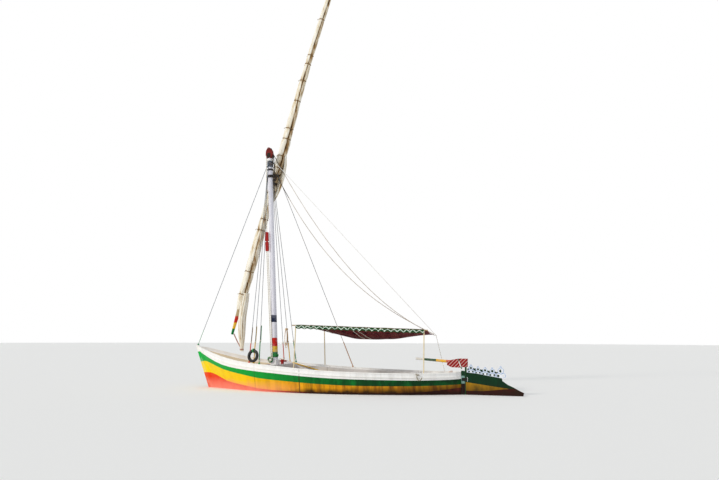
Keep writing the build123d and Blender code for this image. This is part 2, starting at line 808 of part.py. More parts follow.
def crest_discs():
    """Centre, radius and eye of every disc of the crest."""
    for aft, foot, size in CREST_MOTIFS:
        for aside, up, radius, eye in CREST_DISCS:
            yield STOCK_X + aft + size * aside, foot + size * up, size * radius, size * eye


def rudder_crest():
    """Openwork scrolls along the top of the blade."""
    crest = slab([(STOCK_X + x, z) for x, z in CREST_BASE], CREST_THICK)
    for x, z, radius, eye in crest_discs():
        crest += across(x, z, radius, CREST_THICK)
    for x, z, radius, eye in crest_discs():
        if eye:
            crest -= across(x, z, eye, 2 * CREST_THICK)
    return crest


def gudgeons():
    """Two straps on the sternpost that the rudder stock turns in."""
    parts = []
    post_back = STATIONS[-1][0] + POST_WIDTH
    for z in GUDGEON_HEIGHTS:
        eye = Cylinder(STOCK_RADIUS + GUDGEON_WALL, GUDGEON_HEIGHT)
        arm_start = post_back - 60
        arms = Pos((arm_start + STOCK_X) / 2, 0, 0) * Box(
            STOCK_X - arm_start, 2 * (KEEL_HALF + 12), GUDGEON_HEIGHT)
        post = Pos(post_back - 100, 0, 0) * Box(200, 2 * KEEL_HALF, 2 * GUDGEON_HEIGHT)
        bore = Cylinder(STOCK_RADIUS + PIN_PLAY, 2 * GUDGEON_HEIGHT)
        shape = Pos(STOCK_X, 0, 0) * eye + arms - post - Pos(STOCK_X, 0, 0) * bore
        parts.append(Pos(0, 0, z) * shape)
    return parts


def tiller():
    """Long tiller that tapers forward from the rudder head."""
    return rod(TILLER_TIP, TILLER_END, TILLER_TIP_RADIUS, TILLER_HEAD_RADIUS) - tiller_head()


def tiller_head():
    """Painted block that clamps the tiller to the rudder stock."""
    block = slab([(STOCK_X - forward, z) for forward, z in CHEEK_OUTLINE], CHEEK_WIDTH)
    return block - rod((STOCK_X, 0, 0), (STOCK_X, 0, STOCK_TOP + 2 * SEAT_GAP), STOCK_RADIUS + SEAT_GAP)


def pole_feet():
    """Foot and head of each awning pole."""
    return (
        ("near_fore", rail_top(AWNING_FORE_X), -1, AWNING_FORE_Z),
        ("far_fore", rail_top(AWNING_FORE_X), 1, AWNING_FORE_Z),
        ("near_aft", rail_top(AWNING_AFT_X), -1, AWNING_AFT_Z),
    )


def awning_corners():
    """Centres of the awning's bars over the three poles."""
    return {name: Vector(foot.X, side * (foot.Y - AWNING_LEAN_IN), top + RAIL_RADIUS)
            for name, foot, side, top in pole_feet()}


def awning_rails():
    """Bars along the near and fore edges of the awning, on top of the poles."""
    corners = awning_corners()
    along = (corners["near_aft"] - corners["near_fore"]).normalized()
    near = rod(corners["near_fore"] - along * 120, corners["near_aft"] + along * 120, RAIL_RADIUS)
    fore = rod(corners["near_fore"], corners["far_fore"] + Vector(0, 80, 0), RAIL_RADIUS) - near
    return [near, fore]


def awning_poles(rail):
    """Poles that stand on the rail and carry the bars."""
    corners = awning_corners()
    bars = awning_rails()
    parts = []
    for name, foot, side, top in pole_feet():
        start = Vector(foot.X, side * foot.Y, foot.Z - CAP_HEIGHT / 2)
        pole = rod(start, corners[name], POLE_RADIUS)
        parts.append(pole - rail[0] - rail[1] - bars[0] - bars[1])
    return parts


def awning_cloth():
    """Sun awning: one sheet that sags between its bars and the guyed far corner."""
    corners = awning_corners()
    lift = Vector(0, 0, RAIL_RADIUS + CLOTH_GAP + AWNING_THICK)
    near_fore, near_aft = corners["near_fore"] + lift, corners["near_aft"] + lift
    far_fore, far_aft = corners["far_fore"] + lift, Vector(*AWNING_FAR_CORNER)
    sections = []
    for share in (0, 0.25, 0.5, 0.75, 1.0):
        bow = 4 * share * (1 - share)
        near = near_fore + (near_aft - near_fore) * share
        far = far_fore + (far_aft - far_fore) * share - Vector(0, AWNING_HOLLOW * bow, 0)
        upper = []
        for across in (0, 0.25, 0.5, 0.75, 1.0):
            dip = AWNING_SAG * bow * 4 * across * (1 - across)
            upper.append(near + (far - near) * across - Vector(0, 0, dip))
        lower = [point - Vector(0, 0, AWNING_THICK) for point in reversed(upper)]
        sections.append(section(upper + lower))
    return loft(sections, ruled=True)


def awning_guy(rail):
    """Guy from the awning's far corner down to the starboard quarter."""
    start = stay_foot() - Vector(0, 0, EYE_THICK / 2)
    line = rod(start, rail_top(GUY_FOOT_X) - Vector(0, 0, CAP_HEIGHT / 2), GUY_RADIUS)
    return line + corner_eye() - rail[0] - rail[1]


def tyre_fender():
    """Old tyre hung as a fender outside the port shroud rods, flat against them."""
    feet = {colour: foot for colour, foot, head, length in shroud_lines(-1)}
    head = ear_point(band_height(1), -90)
    outward = (feet["green"] - feet["red"]).cross(head - feet["red"]).normalized()
    upward = (head - feet["yellow"]).normalized()
    centre = feet["yellow"] + upward * (TYRE_RADIUS + TYRE_ABOVE)
    centre += outward * (ROD_RADIUS + TYRE_BULGE + SEAT_GAP)
    half = [(TYRE_RADIUS - inward, aside) for inward, aside in TYRE_SECTION]
    whole = half + [(r, -aside) for r, aside in reversed(half)]
    tyre = revolve(section([Vector(r, 0, aside) for r, aside in whole]), Axis.Z)
    return Plane(origin=centre, z_dir=outward).location * tyre


def beside_mast(z):
    """Line of the halyard's tackle, forward and to port of the mast."""
    return mast_at(z) + Vector(-FALL_FORWARD, -FALL_ASIDE, 0)


def fall_block():
    """Long red block of the halyard's tackle."""
    low, high = FALL_BLOCK
    way = (beside_mast(high) - beside_mast(low)).normalized()
    place = Plane(origin=beside_mast(low), x_dir=(1, 0, 0), z_dir=way).location
    body = Box(110, 80, (high - low) / 2 - 8, align=(Align.CENTER, Align.CENTER, Align.MIN))
    body = fillet(body.edges().filter_by(Axis.Y), 30)
    pair = place * body + place * Pos(0, 0, (high - low) / 2 + 8) * body
    return pair + place * Cylinder(30, high - low - 60, align=(Align.CENTER, Align.CENTER, Align.MIN))


def halyard_fall(head, step, block):
    """Falls of the halyard: one up to the head block and two down to the mast step."""
    low, high = FALL_BLOCK
    top = mast_at(MAST_TOP + FALL_HEAD_RISE) - Vector(FALL_HEAD_FORWARD, FALL_HEAD_ASIDE, 0)
    parts = [rod(beside_mast(high) - Vector(0, 0, 40), top, FALL_RADIUS) - head - block]
    step_top = deck_height(MAST_FOOT_X) + STEP_HEIGHT
    foot = Vector(MAST_FOOT_X - FALL_FOOT_FORWARD, -FALL_ASIDE, step_top - 20)
    for side in (-1, 1):
        shift = Vector(side * FALL_SPREAD, 0, 0)
        fall = rod(foot + shift, beside_mast(low) + shift + Vector(0, 0, 40), FALL_RADIUS)
        parts.append(fall - step - block)
    return parts


def bitts(foredeck):
    """Red mooring bitts on the foredeck, with their bar in line with the boat."""
    z = deck_height(BITTS_X)
    post = Pos(BITTS_X, BITTS_Y, z + BITTS_HEIGHT / 2 - 20) * Box(80, 80, BITTS_HEIGHT + 40)
    bar = Pos(BITTS_X, BITTS_Y, z + BITTS_HEIGHT * 0.72) * Rot(0, 90, 0) * Cylinder(26, 300)
    return topmost(post + bar - foredeck)


def oar(rim_z):
    """Spare oar that leans on the cockpit's fore rim, with its blade on the starboard bench."""
    length, width, thick = OAR_BLADE
    x, y = OAR_TIP
    rim_x = COCKPIT_FORE_X + COAMING_THICK
    tilt = atan2(rim_z - BENCH_TOP, hypot(x - rim_x, y - OAR_RIM_Y))
    tip = Vector(x, y, BENCH_TOP + SEAT_GAP + thick / 2 * cos(tilt))
    way = (Vector(rim_x, OAR_RIM_Y, rim_z + SEAT_GAP + OAR_RADIUS / cos(tilt)) - tip).normalized()
    place = Plane(origin=tip, x_dir=(-way.Y, way.X, 0), z_dir=way).location
    blade = place * Box(width, thick, length, align=(Align.CENTER, Align.CENTER, Align.MIN))
    return rod(tip + way * (length - OAR_NECK), tip + way * OAR_LENGTH, OAR_RADIUS) + blade


def bollards(stern_deck):
    """Small white posts on the stern deck, each on a round pad with a level top."""
    parts = []
    pad_top = deck_height(BOLLARD_X) + BOLLARD_PAD_RISE
    pad_height = 3 * BOLLARD_PAD_RISE
    for side in (-1, 1):
        pad = Pos(0, 0, -pad_height / 2) * Cylinder(BOLLARD_PAD, pad_height)
        post = Pos(0, 0, BOLLARD_HEIGHT / 2) * Cylinder(BOLLARD_RADIUS, BOLLARD_HEIGHT)
        whole = Pos(BOLLARD_X, side * BOLLARD_Y, pad_top) * (pad + post)
        parts.append(topmost(whole - stern_deck))
    return parts


def build():
    """All nodes by name."""
    foredeck = deck(stations_between(STATIONS[0][0], COCKPIT_FORE_X))
    stern_deck = deck(stations_between(COCKPIT_AFT_X, STATIONS[-1][0]))
    rail = gunwale()
    cockpit = cockpit_span()
    rims = [cross_coaming(cockpit[0], 1), cross_coaming(cockpit[-1], -1)]
    spar = mast(foredeck)
    step = mast_step(foredeck)
    head = mast_head(spar)
    block = fall_block()
    collar = parrel()
    nodes = {
        "bottom_red": bottom(),
        "strake_yellow": strake("red", "yellow"),
        "strake_green": strake("yellow", "green"),
        "strake_white": strake("green", "white"),
        "gunwale": rail,
        "rub_rail": rub_rail(),
        "stem": stem(),
        "keel": keel(),
        "sternpost": sternpost(),
        "foredeck": foredeck,
        "stern_deck": stern_deck,
        "side_decks": side_decks(),
        "coaming": coaming() + rims,
        "bulkhead_fore": bulkhead(COCKPIT_FORE_X - BULKHEAD_THICK, COCKPIT_FORE_X),
        "bulkhead_aft": bulkhead(COCKPIT_AFT_X, COCKPIT_AFT_X + BULKHEAD_THICK),
        "cockpit_sole": sole(),
        "benches": benches(),
        "mast": spar,
        "mast_step": step,
        "mast_head": head,
        "forestay": forestay(),
        "shrouds_port": wires(-1),
        "shrouds_starboard": wires(1),
        "shroud_rods_red": shroud_rod("red", rail),
        "shroud_rods_yellow": shroud_rod("yellow", rail),
        "shroud_rods_green": shroud_rod("green", rail),
        "runner": runner(rail),
        "backstays": backstays(),
        "fall_block": block,
        "halyard_fall": halyard_fall(head, step, block),
        "bitts": bitts(foredeck),
        "oar": oar(rim_top(cockpit[0])),
        "bollards": bollards(stern_deck),
        "tyre_fender": tyre_fender(),
        "awning_poles": awning_poles(rail),
        "awning_rails": awning_rails(),
        "awning_cloth": awning_cloth(),
        "awning_guy": awning_guy(rail),
        "gudgeons": gudgeons(),
        "rudder_stock": rudder_stock(),
        "rudder_blade": rudder_blade(),
        "rudder_crest": rudder_crest() - rudder_blade(),
        "tiller_head": tiller_head(),
        "tiller": tiller(),
        "parrel": collar,
        "halyard": halyard(collar),
        "yard": yard(),
        "furled_sail_lower": furled_sail_lower(),
        "furled_sail_upper": furled_sail_upper(),
    }
    return nodes


def solids_of(shape):
    """Every solid of a piece or of a list of pieces."""
    if isinstance(shape, list):
        return [solid for piece in shape for solid in solids_of(piece)]
    return shape.solids()


def main():
    """Write one STEP file for each node."""
    os.makedirs("parts", exist_ok=True)
    for name, shape in build().items():
        export_step(Compound(children=solids_of(shape)), f"parts/{name}.step")


main()
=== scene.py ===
"""Dress a moored felucca: weathered paint, canvas, cotton, rope, iron and rubber.

Metres. X runs aft, Y to starboard and Z up, with the origin on the waterline amidships.
"""

import json
import logging
import math
import random
from dataclasses import dataclass
from enum import Enum
from typing import Iterable, Mapping, Sequence

import bpy
from mathutils import Matrix, Vector, noise

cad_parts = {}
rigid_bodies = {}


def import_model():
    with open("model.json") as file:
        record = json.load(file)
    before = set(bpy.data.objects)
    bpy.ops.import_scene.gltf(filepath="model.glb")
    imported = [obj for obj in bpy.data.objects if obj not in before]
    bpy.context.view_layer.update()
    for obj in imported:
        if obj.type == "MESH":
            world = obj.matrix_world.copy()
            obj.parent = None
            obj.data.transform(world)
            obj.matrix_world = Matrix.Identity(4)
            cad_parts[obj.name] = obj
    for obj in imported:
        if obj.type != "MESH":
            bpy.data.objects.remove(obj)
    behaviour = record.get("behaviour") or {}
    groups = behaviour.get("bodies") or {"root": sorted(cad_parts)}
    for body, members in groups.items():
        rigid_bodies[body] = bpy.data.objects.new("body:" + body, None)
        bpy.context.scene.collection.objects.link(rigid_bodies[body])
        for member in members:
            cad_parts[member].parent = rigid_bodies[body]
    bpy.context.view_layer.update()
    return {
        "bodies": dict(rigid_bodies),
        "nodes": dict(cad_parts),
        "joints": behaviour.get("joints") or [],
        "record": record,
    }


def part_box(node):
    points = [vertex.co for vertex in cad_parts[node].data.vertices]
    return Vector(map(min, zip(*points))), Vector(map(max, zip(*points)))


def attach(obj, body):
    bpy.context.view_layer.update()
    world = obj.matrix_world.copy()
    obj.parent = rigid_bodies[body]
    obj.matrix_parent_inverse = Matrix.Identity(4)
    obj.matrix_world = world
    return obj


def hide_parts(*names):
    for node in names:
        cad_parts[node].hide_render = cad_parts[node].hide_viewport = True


LOG = logging.getLogger("felucca")
Point = Sequence[float]
Table = tuple[tuple[float, float], ...]
Rods = tuple[float, tuple[tuple[float, float, float, float], ...]]
STARBOARD = Vector((0.0, 1.0, 0.0))


# ---- Colour and nodes


def linear(colour: str) -> tuple[float, float, float, float]:
    """Turn an sRGB hex colour into linear values.

    Args:
        colour: Six hex digits.

    Returns:
        Linear red, green, blue and an alpha of one.
    """
    parts = [int(colour[i:i + 2], 16) / 255 for i in (0, 2, 4)]
    low = [part / 12.92 if part <= 0.04045 else ((part + 0.055) / 1.055) ** 2.4 for part in parts]
    return low[0], low[1], low[2], 1.0


def add_node(
    tree: bpy.types.NodeTree,
    kind: str,
    settings: Mapping[object, object] | None = None,
    links: Mapping[object, bpy.types.NodeSocket] | None = None,
) -> bpy.types.Node:
    """Add a node with its settings and links.

    Args:
        tree: Tree that takes the node.
        kind: Class name of the node without its ShaderNode prefix.
        settings: Properties by name, input values by socket name or number, or ramp stops.
        links: Sockets that feed its inputs, by socket name or number.

    Returns:
        The new node.
    """
    node = tree.nodes.new("ShaderNode" + kind)
    for key, value in (settings or {}).items():
        if key == "stops":
            ramp = node.color_ramp
            while len(ramp.elements) > 1:
                ramp.elements.remove(ramp.elements[-1])
            for number, (place, colour) in enumerate(value):
                stop = ramp.elements[0] if number == 0 else ramp.elements.new(place)
                stop.position = place
                stop.color = linear(colour) if isinstance(colour, str) else (colour,) * 3 + (1.0,)
        elif key == "constant":
            node.color_ramp.interpolation = "CONSTANT" if value else "LINEAR"
        elif isinstance(key, str) and hasattr(node, key):
            setattr(node, key, value)
        else:
            node.inputs[key].default_value = value
    for key, socket in (links or {}).items():
        tree.links.new(socket, node.inputs[key])
    return node


def per_metre(millimetres: float) -> float:
    """Pattern scale for features of a real size."""
    return 1000.0 / millimetres


def laid_over(tree: bpy.types.NodeTree, mask: bpy.types.NodeSocket, colour: bpy.types.NodeSocket,
              over: str) -> bpy.types.NodeSocket:
    """Lay an sRGB hex colour over another where a mask is white."""
    return add_node(tree, "MixRGB", {"Color2": linear(over)}, {"Fac": mask, "Color1": colour}).outputs[0]


def nearest_line(tree: bpy.types.NodeTree, socket: bpy.types.NodeSocket,
                 millimetres: float) -> bpy.types.NodeSocket:
    """Distance to the nearest of a row of lines, as a share of their spacing, from 0 to a half."""
    turns = add_node(tree, "Math", {"operation": "MULTIPLY", 1: per_metre(millimetres)}, {0: socket})
    return add_node(tree, "Math", {"operation": "PINGPONG", 1: 0.5}, {0: turns.outputs[0]}).outputs[0]


def laid_strands(tree: bpy.types.NodeTree, place: bpy.types.NodeSocket,
                 lay_mm: float) -> bpy.types.NodeSocket:
    """Strands that slant across a rope once in each lay length, whichever way it runs."""
    slope = tuple(per_metre(lay_mm) * share for share in LAY_SLANT)
    slant = add_node(tree, "VectorMath", {"operation": "DOT_PRODUCT", 1: slope}, {0: place})
    return add_node(tree, "Math", {"operation": "PINGPONG", 1: 0.5},
                    {0: slant.outputs["Value"]}).outputs[0]


# Upright seams in the hull's plating: place along the hull, and how strongly it shows.
BUTTS = ((-1.91, 0.4), (-0.21, 1.0))
# Share of each axis in the slant of a rope's strands.
LAY_SLANT = (1.0, 0.7, 0.8)


class Way(Enum):
    """Direction that a pattern or a row of painted bands follows."""

    AFT = (1.0, 0.0, 0.0)
    UP = (0.0, 0.0, 1.0)


# ---- Finishes


@dataclass(frozen=True)
class Bands:
    """Colours along a direction.

    Cut bands waver by about a brush's width, as they do where they are cut in by eye. Where
    they aren't cut, one colour runs into the next; on the hull's plating this runs darker
    towards the stern as painted shade, where the sides turn away from the light.
    """

    way: tuple[float, float, float]
    start: float
    end: float
    stops: tuple[tuple[float, str], ...]
    waver: float = 0.012
    cut: bool = True


@dataclass(frozen=True)
class Wear:
    """How the weather has marked a painted surface, each from 0 to 1."""

    drips: float = 0.0
    grime: float = 0.2
    seams: float = 0.0
    waterline: float = 0.0


@dataclass(frozen=True)
class Finish:
    """A finish that makes its material once."""

    name: str

    def paint(self, tree: bpy.types.NodeTree, shader: bpy.types.Node) -> None:
        """Fill the tree that feeds the shader."""
        raise NotImplementedError

    def material(self) -> bpy.types.Material:
        """Make the material, or fetch it if it is made."""
        found = bpy.data.materials.get(self.name)
        if found:
            return found
        made = bpy.data.materials.new(self.name)
        made.use_nodes = True
        tree = made.node_tree
        tree.nodes.clear()
        shader = add_node(tree, "BsdfPrincipled")
        add_node(tree, "OutputMaterial", links={"Surface": shader.outputs[0]})
        self.paint(tree, shader)
        return made

    def dress(self, thing: bpy.types.Object) -> None:
        """Give this finish to an object's slots."""
        if not thing.data.materials:
            thing.data.materials.append(self.material())
        for slot in thing.material_slots:
            slot.material = self.material()


@dataclass(frozen=True)
class BoatEnamel(Finish):
    """Alkyd boat enamel, brushed in several coats over plate or wood.

    To the eye it is an even, strong colour with a soft gloss. Brush marks run along the
    hull, rust and mud run down from the rail, and it chalks and greys where it is old.
    """

    colour: str = "ffffff"
    chalked: str = "ffffff"
    roughness: float = 0.38
    wear: Wear = Wear()
    bands: Bands | None = None
    stain: str = "6a4418"
    plank_mm: float = 0.0

    def paint(self, tree: bpy.types.NodeTree, shader: bpy.types.Node) -> None:
        """Brush marks 9 mm apart, mottling 350 mm across and runs 150 mm apart."""
        place = add_node(tree, "TexCoord").outputs["Object"]
        split = add_node(tree, "SeparateXYZ", links={0: place})
        mottle = add_node(tree, "TexNoise", {"Scale": per_metre(350), "Detail": 5.0, "Roughness": 0.6},
                          {"Vector": place})
        fade = add_node(tree, "ValToRGB", {"stops": ((0.46, 0.0), (0.74, 0.6))},
                        {0: mottle.outputs["Fac"]})
        links = {"Fac": fade.outputs[0]}
        if self.banded():
            links["Color1"] = self._bands(tree, place, mottle)
        colour = add_node(tree, "MixRGB", {"Color1": linear(self.colour), "Color2": linear(self.chalked)},
                          links).outputs[0]
        wear = self.wear
        if wear.grime:
            colour = self._grime(tree, place, colour)
        if wear.drips:
            colour = self._drips(tree, place, split, colour)
        if wear.seams:
            colour = self._seams(tree, split, colour)
        if wear.waterline:
            colour = self._waterline(tree, split, mottle, colour)
        tree.links.new(colour, shader.inputs["Base Color"])
        rough = add_node(tree, "MapRange", {3: self.roughness - 0.08, 4: self.roughness + 0.2},
                         {0: mottle.outputs["Fac"]})
        tree.links.new(rough.outputs[0], shader.inputs["Roughness"])
        tree.links.new(self._relief(tree, place, split), shader.inputs["Normal"])
        shader.inputs["Specular IOR Level"].default_value = 0.14

    def banded(self) -> bool:
        """Whether bands lie over its ground colour."""
        return self.bands is not None

    def _relief(self, tree: bpy.types.NodeTree, place: bpy.types.NodeSocket,
                split: bpy.types.Node) -> bpy.types.NodeSocket:
        """Brush marks, soft dents 420 mm across and the gaps between deck planks."""
        strokes = add_node(tree, "Mapping", {"Scale": (4.0, 30.0, per_metre(9))}, {"Vector": place})
        brush = add_node(tree, "TexNoise", {"Scale": 1.0, "Detail": 3.0}, {"Vector": strokes.outputs[0]})
        bump = add_node(tree, "Bump", {"Strength": 0.35, "Distance": 0.0012},
                        {"Height": brush.outputs["Fac"]})
        dents = add_node(tree, "TexNoise", {"Scale": per_metre(420), "Detail": 1.0}, {"Vector": place})
        bump = add_node(tree, "Bump", {"Strength": 0.5, "Distance": 0.02},
                        {"Height": dents.outputs["Fac"], "Normal": bump.outputs[0]})
        if self.plank_mm:
            near = nearest_line(tree, split.outputs["Y"], self.plank_mm)
            gap = add_node(tree, "MapRange", {1: 0.0, 2: 0.04}, {0: near})
            bump = add_node(tree, "Bump", {"Strength": 0.9, "Distance": 0.004},
                            {"Height": gap.outputs[0], "Normal": bump.outputs[0]})
        return bump.outputs[0]

    def _bands(self, tree: bpy.types.NodeTree, place: bpy.types.NodeSocket,
               mottle: bpy.types.Node) -> bpy.types.NodeSocket:
        """Bands cut in by hand, or a run of faded colours."""
        bands = self.bands
        along = add_node(tree, "VectorMath", {"operation": "DOT_PRODUCT", 1: bands.way}, {0: place})
        waver = add_node(tree, "Math", {"operation": "MULTIPLY_ADD", 1: 2 * bands.waver, 2: -bands.waver},
                         {0: mottle.outputs["Fac"]})
        total = add_node(tree, "Math", {"operation": "ADD"},
                         {0: along.outputs["Value"], 1: waver.outputs[0]})
        share = add_node(tree, "MapRange", {1: bands.start, 2: bands.end}, {0: total.outputs[0]})
        span = bands.end - bands.start
        stops = tuple((max(0.0, (at - bands.start) / span), hue) for at, hue in bands.stops)
        return add_node(tree, "ValToRGB", {"constant": bands.cut, "stops": stops},
                        {0: share.outputs[0]}).outputs[0]

    def _grime(self, tree: bpy.types.NodeTree, place: bpy.types.NodeSocket,
               colour: bpy.types.NodeSocket) -> bpy.types.NodeSocket:
        """Handling marks and flakes up to 60 mm across."""
        spots = add_node(tree, "TexNoise", {"Scale": per_metre(60), "Detail": 8.0, "Roughness": 0.75},
                         {"Vector": place})
        mask = add_node(tree, "ValToRGB", {"stops": ((0.62, 0.0), (0.74, 0.8 * self.wear.grime))},
                        {0: spots.outputs["Fac"]})
        return laid_over(tree, mask.outputs[0], colour, "5b5040")

    def _drips(self, tree: bpy.types.NodeTree, place: bpy.types.NodeSocket, split: bpy.types.Node,
               colour: bpy.types.NodeSocket) -> bpy.types.NodeSocket:
        """Rust and mud that has run straight down, hardly any at the bow and most at the stern."""
        run = add_node(tree, "Mapping", {"Scale": (per_metre(150), 0.3, 0.9)}, {"Vector": place})
        streak = add_node(tree, "TexNoise", {"Scale": 1.0, "Detail": 5.0, "Roughness": 0.6},
                          {"Vector": run.outputs[0]})
        mask = add_node(tree, "ValToRGB", {"stops": ((0.42, 0.0), (0.66, self.wear.drips))},
                        {0: streak.outputs["Fac"]})
        aft = add_node(tree, "MapRange", {1: -2.4, 2: 1.6, 3: 0.06, 4: 1.0}, {0: split.outputs["X"]})
        both = add_node(tree, "Math", {"operation": "MULTIPLY"}, {0: mask.outputs[0], 1: aft.outputs[0]})
        return laid_over(tree, both.outputs[0], colour, self.stain)

    def _seams(self, tree: bpy.types.NodeTree, split: bpy.types.Node,
               colour: bpy.types.NodeSocket) -> bpy.types.NodeSocket:
        """Upright butt seams where two lengths of plating meet, with their weeping edges."""
        masks = []
        for butt, strength in BUTTS:
            off = add_node(tree, "Math", {"operation": "SUBTRACT", 1: butt}, {0: split.outputs["X"]})
            gap = add_node(tree, "Math", {"operation": "ABSOLUTE"}, {0: off.outputs[0]})
            masks.append(add_node(tree, "MapRange", {1: 0.004, 2: 0.034, 3: strength * self.wear.seams, 4: 0.0},
                                  {0: gap.outputs[0]}).outputs[0])
        mask = add_node(tree, "Math", {"operation": "MAXIMUM"}, {0: masks[0], 1: masks[1]})
        return laid_over(tree, mask.outputs[0], colour, "2f2413")

    def _waterline(self, tree: bpy.types.NodeTree, split: bpy.types.Node, mottle: bpy.types.Node,
                   colour: bpy.types.NodeSocket) -> bpy.types.NodeSocket:
        """Salt and silt that bleach the paint low at the bow, and a dark band low down that rises towards the
        stern.
        """
        ragged = add_node(tree, "Math", {"operation": "MULTIPLY_ADD", 1: -0.24, 2: 0.12},
                          {0: mottle.outputs["Fac"]})
        height = add_node(tree, "Math", {"operation": "ADD"}, {0: split.outputs["Z"], 1: ragged.outputs[0]})
        pale = add_node(tree, "MapRange", {1: 0.02, 2: 0.36, 3: 0.8 * self.wear.waterline, 4: 0.0},
                        {0: height.outputs[0]})
        bow = add_node(tree, "MapRange", {1: -1.6, 2: 0.0, 3: 1.0, 4: 0.0}, {0: split.outputs["X"]})
        mask = add_node(tree, "Math", {"operation": "MULTIPLY"}, {0: pale.outputs[0], 1: bow.outputs[0]})
        bleached = laid_over(tree, mask.outputs[0], colour, "ff9c88")
        reach = add_node(tree, "MapRange", {1: -0.6, 2: 4.6, 3: 0.14, 4: 0.36}, {0: split.outputs["X"]})
        low = add_node(tree, "MapRange", {1: 0.06, 3: self.wear.waterline, 4: 0.0},
                       {0: height.outputs[0], 2: reach.outputs[0]})
        aft = add_node(tree, "MapRange", {1: -1.2, 2: 0.2, 3: 0.0, 4: 1.0}, {0: split.outputs["X"]})
        mask = add_node(tree, "Math", {"operation": "MULTIPLY"}, {0: low.outputs[0], 1: aft.outputs[0]})
        return laid_over(tree, mask.outputs[0], bleached, "251008")


@dataclass(frozen=True)
class RudderEnamel(BoatEnamel):
    """Enamel of the rudder blade: dark green over an ochre wedge over dark red."""

    over: tuple[float, float] = (1.045, 0.135)
    under: tuple[float, float, float, float] = (5.40, 6.24, 0.125, 0.215)

    def banded(self) -> bool:
        """The wedge and the dark foot are always there."""
        return True

    def _bands(self, tree: bpy.types.NodeTree, place: bpy.types.NodeSocket,
               mottle: bpy.types.Node) -> bpy.types.NodeSocket:
        """The ochre wedge's upper edge falls aft, and its lower edge curves up."""
        split = add_node(tree, "SeparateXYZ", links={0: place})
        slope = add_node(tree, "Math", {"operation": "MULTIPLY_ADD", 1: self.over[1]},
                         {0: split.outputs["X"], 2: split.outputs["Z"]})
        ochre = add_node(tree, "Math", {"operation": "LESS_THAN", 1: self.over[0]}, {0: slope.outputs[0]})
        upper = add_node(tree, "MixRGB", {"Color1": linear(self.colour), "Color2": linear("a97c14")},
                         {"Fac": ochre.outputs[0]})
        start, end, low, high = self.under
        edge = add_node(tree, "MapRange", {1: start, 2: end, 3: low, 4: high}, {0: split.outputs["X"]})
        red = add_node(tree, "Math", {"operation": "LESS_THAN"},
                       {0: split.outputs["Z"], 1: edge.outputs[0]})
        return laid_over(tree, red.outputs[0], upper.outputs[0], "451009")


@dataclass(frozen=True)
class OiledWood(Finish):
    """Eucalyptus and pine, sawn or peeled, oiled and left in the sun.

    To the eye it is warm brown with long darker streaks, greyed and matt on top.
    """

    pale: str = "a98357"
    dark: str = "5d4126"
    grain: Way = Way.AFT
    plank_mm: float = 0.0

    def paint(self, tree: bpy.types.NodeTree, shader: bpy.types.Node) -> None:
        """Grain lines 7 mm wide and up to 0.6 m long, with plank joints where it is planked."""
        place = add_node(tree, "TexCoord").outputs["Object"]
        scale = [per_metre(14)] * 3
        for axis in range(3):
            if self.grain.value[axis] > 0.5:
                scale[axis] = per_metre(600)
        run = add_node(tree, "Mapping", {"Scale": tuple(scale)}, {"Vector": place})
        lines = add_node(tree, "TexNoise", {"Scale": 1.0, "Detail": 5.0, "Roughness": 0.65},
                         {"Vector": run.outputs[0]})
        tone = add_node(tree, "ValToRGB", {"stops": ((0.30, self.dark), (0.62, self.pale))},
                        {0: lines.outputs["Fac"]})
        grey = add_node(tree, "TexNoise", {"Scale": per_metre(500), "Detail": 3.0}, {"Vector": place})
        worn = add_node(tree, "ValToRGB", {"stops": ((0.45, 0.0), (0.75, 0.55))}, {0: grey.outputs["Fac"]})
        colour = laid_over(tree, worn.outputs[0], tone.outputs[0], "9a9184")
        if self.plank_mm:
            split = add_node(tree, "SeparateXYZ", links={0: place})
            near = nearest_line(tree, split.outputs["Y"], self.plank_mm)
            gap = add_node(tree, "ValToRGB", {"stops": ((0.0, 0.9), (0.03, 0.0))}, {0: near})
            colour = laid_over(tree, gap.outputs[0], colour, "20160d")
        tree.links.new(colour, shader.inputs["Base Color"])
        shader.inputs["Roughness"].default_value = 0.68
        bump = add_node(tree, "Bump", {"Strength": 0.5, "Distance": 0.002}, {"Height": lines.outputs["Fac"]})
        tree.links.new(bump.outputs[0], shader.inputs["Normal"])


